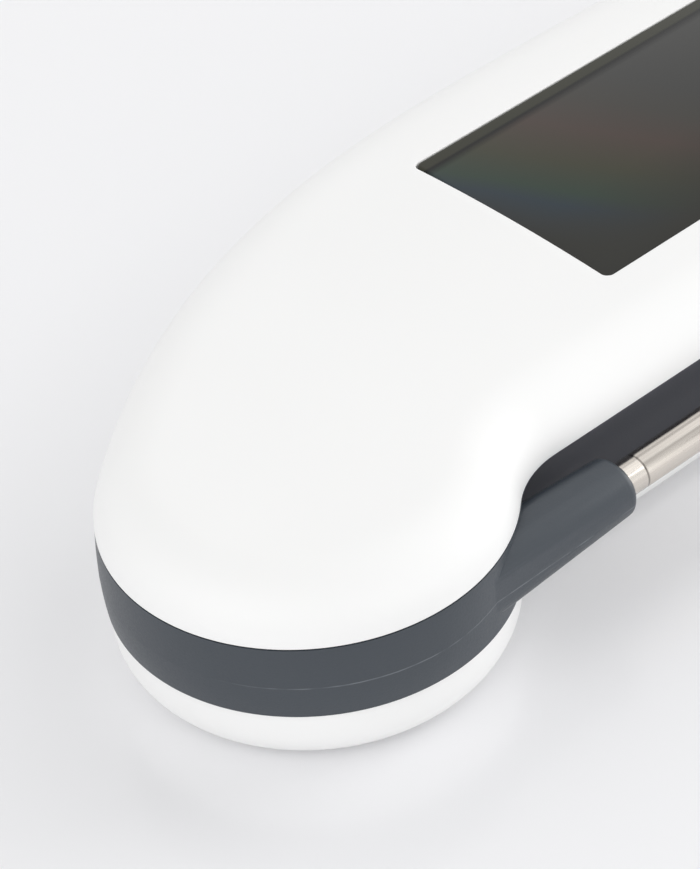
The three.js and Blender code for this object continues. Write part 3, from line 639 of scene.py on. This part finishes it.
stem = {"sides": 96, "wall": 0.4 * mm, "ringFrom": 2.15 * mm, "ringWide": 0.14 * mm, "ringDeep": 0.02 * mm,
        "shoulder": 4 * mm, "pointRun": 4.5 * mm, "neckGap": 0.05 * mm, "neckLip": 0.15 * mm,
        "plugStart": 6 * mm, "plugEnd": 7.5 * mm}


def makeStem():
    size = stem
    radius = stemRadius
    inner = radius - size["wall"]
    tipRadius = (tipHigh.y - tipLow.y) / 2
    start, end = tubeLow.x, tubeHigh.x
    ring = drumHigh.x + size["ringFrom"]
    wide, deep = size["ringWide"], size["ringDeep"]
    neck = tipRadius + size["neckGap"]
    profile = [(inner, start), (radius, start), (radius, ring - wide), (radius - deep, ring - wide / 2),
               (radius - deep, ring + wide / 2), (radius, ring + wide)]
    for i in range(7):
        turn = i / 6
        ease = turn * turn * (3 - 2 * turn)
        profile.append((radius + (neck + size["neckLip"] - radius) * ease,
                        end - size["shoulder"] * (1 - turn)))
    profile += [(neck, end), (neck, end - size["plugStart"]), (inner, end - size["plugEnd"])]
    tube = turned("stemTube", profile, (0, stemY, stemZ), "X", size["sides"])
    smoothed(tube, 30)
    back = tipLow.x
    point = tipHigh.x
    profile = [(0, back), (tipRadius, back), (tipRadius, point - size["pointRun"])]
    for i in range(1, 8):
        turn = i / 8
        profile.append((tipRadius * math.cos(turn * math.pi / 2) ** 0.9,
                        point - size["pointRun"] * (1 - turn)))
    profile.append((0, point))
    tip = turned("stemPoint", profile, (0, stemY, stemZ), "X", 48)
    smoothed(tip, 40)
    return tube, tip


screws = {"head": 1.9 * mm, "shank": 0.85 * mm, "cross": 0.5 * mm, "crossLong": 2.3 * mm,
          "crossDeep": 0.7 * mm, "ridges": 9}


def makeScrew(name, node, headHigh):
    size = screws
    low, high = (Vector(corner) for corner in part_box(node))
    tall = high.z - low.z
    head = size["head"]
    profile = [(0, 0), (head * 0.72, 0), (head * 0.93, 0.12 * mm), (head, 0.35 * mm), (head, headHigh),
               (size["shank"], headHigh)]
    shank = size["shank"]
    for i in range(size["ridges"]):
        z = headHigh + (tall - headHigh - 1 * mm) * (i + 0.5) / size["ridges"]
        profile += [(shank, z - 0.25 * mm), (shank * 0.8, z), (shank, z + 0.25 * mm)]
    profile += [(shank * 0.5, tall), (0, tall)]
    centre = ((low.x + high.x) / 2, (low.y + high.y) / 2, low.z)
    piece = turned(name, profile, centre, "Z", 32)
    for wide, long in ((size["cross"], size["crossLong"]), (size["crossLong"], size["cross"])):
        slot = block("slot", (centre[0] - wide / 2, centre[1] - long / 2, low.z - past),
                     (centre[0] + wide / 2, centre[1] + long / 2, low.z + size["crossDeep"]))
        cutWith(piece, slot)
    smoothed(piece, 35)
    return piece


batteryLid = {"corner": 4 * mm, "edge": 0.3 * mm, "headDeep": 0.8 * mm, "gripCount": 5, "gripGap": 1.6 * mm,
              "gripIn": 5 * mm, "gripHalf": 0.35 * mm, "gripDeep": 0.3 * mm, "gripReach": 5 * mm}


def makeBatteryLid():
    size = batteryLid
    piece = roundedBlock("batteryLid", tuple(coverLow), tuple(coverHigh), size["corner"], 10)
    openEdit(piece, "EDGE")
    pickEdges(piece, lambda edge: all(v.co.z < coverLow.z + touch for v in edge.verts))
    bpy.ops.mesh.bevel(offset=size["edge"], segments=3, affect="EDGES")
    closeEdit()
    low, high = (Vector(corner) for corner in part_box("battery_cover_screw"))
    x, y = (low.x + high.x) / 2, (low.y + high.y) / 2
    cutWith(piece, post("lidHole", fasteners["hole"], -past, 3 * past, x, y, 32))
    cutWith(piece, post("lidSink", fasteners["headHole"], -past, low.z + size["headDeep"], x, y, 48))
    half, reach, deep = size["gripHalf"], size["gripReach"], size["gripDeep"]
    for i in range(size["gripCount"]):
        gripX = coverHigh.x - size["gripIn"] - i * size["gripGap"]
        grip = roundedBlock("grip", (gripX - half, y - reach, -past),
                            (gripX + half, y + reach, coverLow.z + deep), deep, 4)
        cutWith(piece, grip)
    smoothed(piece)
    return piece


# ---------- node groups shared by several materials

def newGroup(name, inputs, outputs):
    group = bpy.data.node_groups.new(name, "ShaderNodeTree")
    for label, kind, value in inputs:
        socket = group.interface.new_socket(name=label, in_out="INPUT", socket_type=kind)
        socket.default_value = value
    for label, kind in outputs:
        group.interface.new_socket(name=label, in_out="OUTPUT", socket_type=kind)
    inNode = group.nodes.new("NodeGroupInput")
    outNode = group.nodes.new("NodeGroupOutput")
    return group, inNode, outNode


def addNode(tree, kind, **settings):
    node = tree.nodes.new(kind)
    for key, value in settings.items():
        setattr(node, key, value)
    return node


def doMath(tree, operation, *values):
    # each value is a socket to link or a plain number
    node = addNode(tree, "ShaderNodeMath", operation=operation)
    for i, value in enumerate(values):
        if isinstance(value, float):
            node.inputs[i].default_value = value
        else:
            tree.links.new(value, node.inputs[i])
    return node.outputs[0]


def objectPlace(tree):
    # place on the object as separate X, Y and Z outputs
    place = addNode(tree, "ShaderNodeTexCoord")
    split = addNode(tree, "ShaderNodeSeparateXYZ")
    tree.links.new(place.outputs["Object"], split.inputs["Vector"])
    return place, split


def makeMouldGrain():
    # fine spark texture of a moulded surface, with a slow change of tone over it
    group, inNode, outNode = newGroup(
        "mouldGrain",
        [("Grain Scale", "NodeSocketFloat", 4000.0), ("Tone Scale", "NodeSocketFloat", 40.0)],
        [("Height", "NodeSocketFloat"), ("Speck", "NodeSocketFloat"), ("Tone", "NodeSocketFloat")])
    place = addNode(group, "ShaderNodeTexCoord")
    grain = addNode(group, "ShaderNodeTexNoise")
    grain.inputs["Detail"].default_value = 3.0
    specks = addNode(group, "ShaderNodeTexVoronoi")
    tone = addNode(group, "ShaderNodeTexNoise")
    tone.inputs["Detail"].default_value = 2.0
    speckMask = addNode(group, "ShaderNodeMapRange")
    speckMask.inputs["From Min"].default_value = 0.16
    speckMask.inputs["From Max"].default_value = 0.05
    for node in (grain, specks, tone):
        group.links.new(place.outputs["Object"], node.inputs["Vector"])
    group.links.new(inNode.outputs["Grain Scale"], grain.inputs["Scale"])
    group.links.new(inNode.outputs["Grain Scale"], specks.inputs["Scale"])
    group.links.new(inNode.outputs["Tone Scale"], tone.inputs["Scale"])
    group.links.new(specks.outputs["Distance"], speckMask.inputs["Value"])
    group.links.new(grain.outputs["Fac"], outNode.inputs["Height"])
    group.links.new(speckMask.outputs["Result"], outNode.inputs["Speck"])
    group.links.new(tone.outputs["Fac"], outNode.inputs["Tone"])
    return group


def makeDrawnLines():
    # long fine scratches along X, as on drawn or lathe-turned metal
    group, inNode, outNode = newGroup(
        "drawnLines",
        [("Fine", "NodeSocketFloat", 2600.0), ("Stretch", "NodeSocketFloat", 0.02)],
        [("Lines", "NodeSocketFloat"), ("Patches", "NodeSocketFloat")])
    place = addNode(group, "ShaderNodeTexCoord")
    stretch = addNode(group, "ShaderNodeCombineXYZ")
    stretch.inputs["Y"].default_value = 1.0
    stretch.inputs["Z"].default_value = 1.0
    scaled = addNode(group, "ShaderNodeVectorMath", operation="MULTIPLY")
    lines = addNode(group, "ShaderNodeTexNoise")
    lines.inputs["Detail"].default_value = 4.0
    patches = addNode(group, "ShaderNodeTexNoise")
    patches.inputs["Scale"].default_value = 180.0
    group.links.new(inNode.outputs["Stretch"], stretch.inputs["X"])
    group.links.new(place.outputs["Object"], scaled.inputs[0])
    group.links.new(stretch.outputs["Vector"], scaled.inputs[1])
    group.links.new(scaled.outputs["Vector"], lines.inputs["Vector"])
    group.links.new(inNode.outputs["Fine"], lines.inputs["Scale"])
    group.links.new(place.outputs["Object"], patches.inputs["Vector"])
    group.links.new(lines.outputs["Fac"], outNode.inputs["Lines"])
    group.links.new(patches.outputs["Fac"], outNode.inputs["Patches"])
    return group


mouldGrain = makeMouldGrain()
drawnLines = makeDrawnLines()


def newMaterial(name, **sockets):
    material = bpy.data.materials.new(name)
    material.use_nodes = True
    shader = material.node_tree.nodes["Principled BSDF"]
    for label, value in sockets.items():
        shader.inputs[label.replace("_", " ")].default_value = value
    return material, material.node_tree, shader


def useGroup(tree, group, **values):
    node = tree.nodes.new("ShaderNodeGroup")
    node.node_tree = group
    for label, value in values.items():
        node.inputs[label.replace("_", " ")].default_value = value
    return node


def mixColours(tree, mask, low, high):
    mix = tree.nodes.new("ShaderNodeMix")
    mix.data_type = "RGBA"
    for socket, value in ((mix.inputs[6], low), (mix.inputs[7], high)):
        if isinstance(value, tuple):
            socket.default_value = (*value, 1.0)
        else:
            tree.links.new(value, socket)
    tree.links.new(mask, mix.inputs[0])
    return mix.outputs[2]


def mapTo(tree, value, fromLow, fromHigh, toLow, toHigh):
    node = tree.nodes.new("ShaderNodeMapRange")
    limits = {"From Min": fromLow, "From Max": fromHigh, "To Min": toLow, "To Max": toHigh}
    for label, number in limits.items():
        node.inputs[label].default_value = number
    tree.links.new(value, node.inputs["Value"])
    return node.outputs["Result"]


def bumpFrom(tree, shader, height, strength, distance):
    bump = tree.nodes.new("ShaderNodeBump")
    bump.inputs["Strength"].default_value = strength
    bump.inputs["Distance"].default_value = distance
    tree.links.new(height, bump.inputs["Height"])
    tree.links.new(bump.outputs["Normal"], shader.inputs["Normal"])


def mouldedPlastic(name, base, light, speck, rough, grainScale=4200.0, grainDeep=0.12, distance=0.00004):
    material, tree, shader = newMaterial(name)
    grain = useGroup(tree, mouldGrain, Grain_Scale=grainScale)
    toned = mixColours(tree, mapTo(tree, grain.outputs["Tone"], 0.3, 0.7, 0, 1), base, light)
    specked = mixColours(tree, mapTo(tree, grain.outputs["Speck"], 0, 1, 0, 0.35), toned, speck)
    tree.links.new(specked, shader.inputs["Base Color"])
    tree.links.new(mapTo(tree, grain.outputs["Height"], 0.3, 0.7, rough - 0.05, rough + 0.05),
                   shader.inputs["Roughness"])
    bumpFrom(tree, shader, grain.outputs["Height"], grainDeep, distance)
    return material, tree, shader, specked


def makeShellPlastic():
    return mouldedPlastic("shellPlastic", (0.90, 0.90, 0.895), (0.915, 0.915, 0.91), (0.88, 0.88, 0.875),
                          0.42, 5200.0, 0.05)[0]


def makeDrumPlastic():
    # matte blue-grey, with a broken paler line along the mould's parting: the witness of the mould with a
    # painted highlight of its flash ridge, left off on the back-left of the drum
    material, tree, shader, colour = mouldedPlastic(
        "drumPlastic", (0.042, 0.051, 0.063), (0.048, 0.058, 0.071), (0.072, 0.086, 0.102), 0.4, 5200.0, 0.3)
    place, split = objectPlace(tree)
    waver = addNode(tree, "ShaderNodeTexNoise")
    waver.inputs["Scale"].default_value = 420.0
    tree.links.new(place.outputs["Object"], waver.inputs["Vector"])
    # painted highlight: a thin paler line along the parting ridge, broken by noise and faded out toward
    # negative X
    away = doMath(tree, "SUBTRACT", split.outputs["Z"], partingZ + 0.05 * mm)
    near = mapTo(tree, doMath(tree, "ABSOLUTE", away), 0.03 * mm, 0.08 * mm, 1, 0)
    brokenHighlight = doMath(tree, "MULTIPLY", near, mapTo(tree, waver.outputs["Fac"], 0.36, 0.58, 0.1, 0.9))
    shown = mapTo(tree, split.outputs["X"], -16 * mm, -12.5 * mm, 0, 1)
    flashHighlighted = mixColours(tree, doMath(tree, "MULTIPLY", brokenHighlight, shown), colour, (0.15, 0.165, 0.185))
    tree.links.new(flashHighlighted, shader.inputs["Base Color"])
    return material


def makeLinerPlastic():
    return mouldedPlastic("linerPlastic", (0.060, 0.062, 0.076), (0.070, 0.073, 0.088), (0.09, 0.094, 0.11),
                          0.52, 5200.0, 0.2)[0]


def makeWindowAcrylic():
    # smoked pane: near black, with the faint slanting colour bands of a polariser under it
    material, tree, shader = newMaterial("windowAcrylic", Roughness=0.14, IOR=1.33)
    place = addNode(tree, "ShaderNodeTexCoord")
    turn = addNode(tree, "ShaderNodeMapping")
    turn.inputs["Location"].default_value = (-windowLow.x, -windowLow.y, 0)
    tree.links.new(place.outputs["Object"], turn.inputs["Vector"])
    wobble = addNode(tree, "ShaderNodeTexNoise")
    wobble.inputs["Scale"].default_value = 60.0
    tree.links.new(place.outputs["Object"], wobble.inputs["Vector"])
    split = addNode(tree, "ShaderNodeSeparateXYZ")
    tree.links.new(turn.outputs["Vector"], split.inputs["Vector"])
    lengthways = doMath(tree, "MULTIPLY_ADD", split.outputs["X"], 1 / (26 * mm),
                        mapTo(tree, wobble.outputs["Fac"], 0, 1, -0.04, 0.04))
    shift = doMath(tree, "SUBTRACT", lengthways, 0.16)
    across = doMath(tree, "MULTIPLY_ADD", split.outputs["Y"], 0.48 / (23 * mm), shift)
    ramp = addNode(tree, "ShaderNodeValToRGB")
    last = 1.1
    stops = [(0.02, (0.032, 0.032, 0.028)), (0.14, (0.032, 0.036, 0.038)), (0.25, (0.028, 0.040, 0.050)),
             (0.33, (0.032, 0.049, 0.037)), (0.5, (0.047, 0.047, 0.031)), (0.72, (0.062, 0.045, 0.038)),
             (0.92, (0.048, 0.045, 0.040)), (last, (0.044, 0.044, 0.042))]
    while len(ramp.color_ramp.elements) < len(stops):
        ramp.color_ramp.elements.new(0.5)
    for element, (position, colour) in zip(ramp.color_ramp.elements, stops):
        element.position = position / last
        element.color = (*colour, 1)
    tree.links.new(doMath(tree, "DIVIDE", across, last), ramp.inputs["Fac"])
    faded = mixColours(tree, mapTo(tree, split.outputs["Y"], 1 * mm, 10 * mm, 0, 1),
                       (0.034, 0.034, 0.030), ramp.outputs["Color"])
    # painted light and shade under the far long edge: a lighter olive strip for the lit inner wall of the
    # window's recess seen through the pane, with a painted shadow line along it
    fromFar = doMath(tree, "SUBTRACT", windowHigh.y - windowLow.y, split.outputs["Y"])
    litWallMask = mapTo(tree, fromFar, 1.2 * mm, 1.5 * mm, 1, 0)
    shadowLineMask = mapTo(tree, fromFar, 1.5 * mm, 2.4 * mm, 1, 0)
    shadowLined = mixColours(tree, shadowLineMask, faded, (0.003, 0.003, 0.003))
    tree.links.new(mixColours(tree, litWallMask, shadowLined, (0.030, 0.030, 0.019)), shader.inputs["Base Color"])
    return material


def metal(name, base, worn, rough, fine=2600.0, stretch=0.02, bump=0.12):
    material, tree, shader = newMaterial(name, Metallic=1.0)
    lines = useGroup(tree, drawnLines, Fine=fine, Stretch=stretch)
    mask = mapTo(tree, lines.outputs["Lines"], 0.35, 0.65, 0, 1)
    tree.links.new(mixColours(tree, mask, base, worn), shader.inputs["Base Color"])
    tree.links.new(mapTo(tree, lines.outputs["Patches"], 0.3, 0.7, rough - 0.04, rough + 0.05),
                   shader.inputs["Roughness"])
    bumpFrom(tree, shader, lines.outputs["Lines"], bump, 0.00002)
    return material, tree, shader


def makeStemSteel():
    # drawn tube, with a fine ring where it is crimped to the arm, painted dark as the shade in its shallow
    # groove
    material, tree, shader = metal("stemSteel", (0.66, 0.61, 0.56), (0.71, 0.665, 0.61),
                                   0.2, 5200.0, 0.012, 0.05)
    colour = shader.inputs["Base Color"].links[0].from_socket
    split = objectPlace(tree)[1]
    away = doMath(tree, "SUBTRACT", split.outputs["X"], drumHigh.x + stem["ringFrom"])
    # painted shade: a dark band across the tube over the crimp groove
    ring = mapTo(tree, doMath(tree, "ABSOLUTE", away), 0.05 * mm, 0.14 * mm, 0.75, 0)
    ringShaded = mixColours(tree, ring, colour, (0.16, 0.145, 0.13))
    tree.links.new(ringShaded, shader.inputs["Base Color"])
    return material


def makePlatedSteel():
    return metal("platedSteel", (0.55, 0.56, 0.58), (0.66, 0.67, 0.69), 0.3, 900.0, 1.0, 0.06)[0]


def makeSealRubber():
    return mouldedPlastic("sealRubber", (0.016, 0.016, 0.017), (0.024, 0.024, 0.026), (0.04, 0.04, 0.042),
                          0.8, 2600.0, 0.3)[0]


def makeChipEpoxy():
    return mouldedPlastic("chipEpoxy", (0.014, 0.014, 0.016), (0.02, 0.02, 0.022), (0.05, 0.05, 0.05),
                          0.6, 6000.0, 0.4)[0]


def makeLightPanel():
    return mouldedPlastic("lightPanel", (0.78, 0.79, 0.77), (0.84, 0.85, 0.83), (0.7, 0.7, 0.7),
                          0.5, 3000.0, 0.1)[0]


def makeLeadSleeve():
    return mouldedPlastic("leadSleeve", (0.22, 0.035, 0.02), (0.3, 0.05, 0.03), (0.35, 0.09, 0.06),
                          0.55, 3000.0, 0.2)[0]


def makeDisplayGlass():
    material, tree, shader = newMaterial("displayGlass", Roughness=0.08)
    grain = useGroup(tree, mouldGrain, Grain_Scale=900.0)
    mask = mapTo(tree, grain.outputs["Tone"], 0.35, 0.65, 0, 1)
    toned = mixColours(tree, mask, (0.10, 0.115, 0.09), (0.13, 0.145, 0.115))
    tree.links.new(toned, shader.inputs["Base Color"])
    return material


def makeBoardResist():
    # solder resist with copper runs showing through as a lighter grid of tracks
    material, tree, shader = newMaterial("boardResist", Roughness=0.35)
    place = addNode(tree, "ShaderNodeTexCoord")
    tracks = addNode(tree, "ShaderNodeTexBrick")
    pattern = {"Scale": 320.0, "Mortar Size": 0.035, "Brick Width": 1.7, "Row Height": 0.22,
               "Color1": (0.006, 0.075, 0.03, 1), "Color2": (0.008, 0.09, 0.036, 1),
               "Mortar": (0.03, 0.17, 0.07, 1)}
    for label, value in pattern.items():
        tracks.inputs[label].default_value = value
    tree.links.new(place.outputs["Object"], tracks.inputs["Vector"])
    tree.links.new(tracks.outputs["Color"], shader.inputs["Base Color"])
    bumpFrom(tree, shader, tracks.outputs["Fac"], 0.3, 0.00004)
    return material


def makeCellSleeve():
    # plain printed sleeve: dark along most of its length, a copper-coloured band at the button end
    material, tree, shader = newMaterial("cellSleeve", Roughness=0.3)
    low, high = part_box("battery")
    split = objectPlace(tree)[1]
    band = mapTo(tree, split.outputs["X"], high[0] - 12 * mm, high[0] - 11.8 * mm, 0, 1)
    bare = mapTo(tree, split.outputs["X"], high[0] - 1.3 * mm, high[0] - 1.2 * mm, 0, 1)
    printed = mixColours(tree, band, (0.012, 0.014, 0.02), (0.42, 0.19, 0.07))
    tree.links.new(mixColours(tree, bare, printed, (0.6, 0.6, 0.6)), shader.inputs["Base Color"])
    tree.links.new(mapTo(tree, bare, 0, 1, 0.35, 1), shader.inputs["Metallic"])
    return material


shellPlastic = makeShellPlastic()
drumPlastic = makeDrumPlastic()
linerPlastic = makeLinerPlastic()
windowAcrylic = makeWindowAcrylic()
stemSteel = makeStemSteel()
platedSteel = makePlatedSteel()
sealRubber = makeSealRubber()
chipEpoxy = makeChipEpoxy()
lightPanel = makeLightPanel()
leadSleeve = makeLeadSleeve()
displayGlass = makeDisplayGlass()
boardResist = makeBoardResist()
cellSleeve = makeCellSleeve()
print("materials ready")


# ---------- put the pieces together

def fit(piece, material, body, slot, *replaced):
    piece.data.materials.clear()
    piece.data.materials.append(material)
    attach(piece, body)
    if replaced:
        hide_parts(*replaced)


def dress(names, material):
    for name in names:
        mesh = nodes[name].data
        mesh.materials.clear()
        mesh.materials.append(material)


fit(makeFrontCover(), shellPlastic, "housing", "shell", "front_shell")
fit(makeRearCover(), shellPlastic, "housing", "shell", "rear_shell")
fit(makeLiner(), linerPlastic, "housing", "liner", "channel_liner")
fit(makePane(), windowAcrylic, "housing", "window", "display_window")
hubUpper, hubLower = makeHub()
fit(hubUpper, drumPlastic, "probe_arm", "drum", "probe_hub_upper")
fit(hubLower, drumPlastic, "probe_arm", "drum", "probe_hub_lower")
stemTube, stemPoint = makeStem()
fit(stemTube, stemSteel, "probe_arm", "steel", "probe_tube")
fit(stemPoint, stemSteel, "probe_arm", "steel", "probe_tip")
fit(makeBatteryLid(), shellPlastic, "housing", "shell", "battery_cover")
for i in range(4):
    fit(makeScrew(f"caseScrew{i + 1}", f"case_screw_{i + 1}", 1.3 * mm), platedSteel,
        "housing", "plated", f"case_screw_{i + 1}")
fit(makeScrew("lidScrew", "battery_cover_screw", 0.75 * mm), platedSteel,
    "housing", "plated", "battery_cover_screw")
print("visible pieces fitted")

dress(["hub_seal_upper", "hub_seal_lower", "window_gasket", "lcd_connector_left", "lcd_connector_right",
       "battery_cover_seal", "case_gasket"], sealRubber)
dress(["pivot_spindle", "spindle_clip", "wave_washer", "fold_magnet", "battery_contact_positive",
       "battery_contact_negative"], platedSteel)
dress(["processor_chip", "motion_sensor_chip", "fold_sensor", "settings_block"], chipEpoxy)
dress(["backlight_panel", "settings_slider_1", "settings_slider_2"], lightPanel)
dress(["thermocouple_lead", "board_lead"], leadSleeve)
dress(["lcd_glass"], displayGlass)
dress(["main_board"], boardResist)
dress(["battery"], cellSleeve)


# ---------- floor, light and camera

room = {"floorSize": 6.0, "horizon": 1.17, "zenith": 0.58, "floorTone": (0.90, 0.90, 0.915),
        "floorRough": 0.2, "cardSize": 0.13, "cardPlace": (0.27, -0.39, 0.25)}


def makeRoom():
    size = room
    pickNothing()
    bpy.ops.mesh.primitive_plane_add(size=size["floorSize"], location=(0.06, 0.01, rearLow.z - 0.02 * mm))
    floor = bpy.context.object
    floor.name = "floor"
    material, tree, shader = newMaterial("floorCard")
    grain = useGroup(tree, mouldGrain, Grain_Scale=300.0, Tone_Scale=3.0)
    tone = size["floorTone"]
    mask = mapTo(tree, grain.outputs["Tone"], 0.3, 0.7, 0, 1)
    paler = tuple(value * 1.012 for value in tone)
    tree.links.new(mixColours(tree, mask, tone, paler), shader.inputs["Base Color"])
    shader.inputs["Roughness"].default_value = size["floorRough"]
    floor.data.materials.append(material)
    world = bpy.data.worlds.new("studio")
    world.use_nodes = True
    background = world.node_tree.nodes["Background"]
    background.inputs["Color"].default_value = (1.0, 1.0, 1.0, 1)
    tree = world.node_tree
    place = addNode(tree, "ShaderNodeTexCoord")
    split = addNode(tree, "ShaderNodeSeparateXYZ")
    tree.links.new(place.outputs["Generated"], split.inputs["Vector"])
    tree.links.new(mapTo(tree, split.outputs["Z"], 0, 1, size["horizon"], size["zenith"]),
                   background.inputs["Strength"])
    bpy.context.scene.world = world


softboxes = {
    "left": {"place": (-0.55, -0.15, 0.42), "size": 0.7, "power": 1.15},
    "front": {"place": (0.02, -0.8, 0.42), "size": 0.5, "power": 0.5},
    "right": {"place": (0.95, -0.25, 0.3), "size": 0.6, "power": 2.9},
    "top": {"place": (0.41, -0.02, 0.6), "size": 0.48, "power": 0.36},
}


def makeLights():
    target = Vector((0.03, 0.0, 0.01))
    for name, box in softboxes.items():
        pickNothing()
        bpy.ops.object.light_add(type="AREA", location=box["place"])
        light = bpy.context.object
        light.name = name
        light.data.shape = "SQUARE"
        light.data.size = box["size"]
        light.data.energy = box["power"]
        light.rotation_euler = (target - Vector(box["place"])).to_track_quat("-Z", "Y").to_euler()


view = {"place": (-0.126585, -0.167126, 0.19613), "turn": -38.2043, "tilt": 40.0349, "roll": -5.3859,
        "lens": 145.246}


def makeCamera():
    turn, tilt, roll = (math.radians(view[key]) for key in ("turn", "tilt", "roll"))
    back = Vector((math.sin(turn) * math.cos(tilt), -math.cos(turn) * math.cos(tilt), math.sin(tilt)))
    right = Vector((math.cos(turn), math.sin(turn), 0))
    up = back.cross(right)
    across = right * math.cos(roll) + up * math.sin(roll)
    upward = up * math.cos(roll) - right * math.sin(roll)
    bpy.ops.object.camera_add(location=view["place"])
    camera = bpy.context.object
    camera.data.lens = view["lens"]
    camera.data.sensor_width = 36
    camera.data.clip_start = 0.01
    camera.rotation_euler = Matrix((across, upward, back)).transposed().to_euler()
    bpy.context.scene.camera = camera


def makeCard():
    # small dark card at the front: it puts the thin dark reflection along the polished stem
    place = Vector(room["cardPlace"])
    away = place - Vector((0.035, -0.013, 0.01))
    bpy.ops.mesh.primitive_plane_add(size=room["cardSize"], location=place,
                                     rotation=away.to_track_quat("Z", "Y").to_euler())
    card = bpy.context.object
    card.name = "card"
    material, tree, shader = newMaterial("cardFelt", Roughness=1.0)
    grain = useGroup(tree, mouldGrain, Grain_Scale=900.0, Tone_Scale=30.0)
    mask = mapTo(tree, grain.outputs["Tone"], 0.3, 0.7, 0, 1)
    felt = mixColours(tree, mask, (0.015, 0.015, 0.015), (0.025, 0.025, 0.025))
    tree.links.new(felt, shader.inputs["Base Color"])
    card.data.materials.append(material)


makeRoom()
makeLights()
makeCard()
makeCamera()
bpy.context.scene.view_settings.view_transform = "Standard"
print("room, lights and camera ready")

pickNothing()
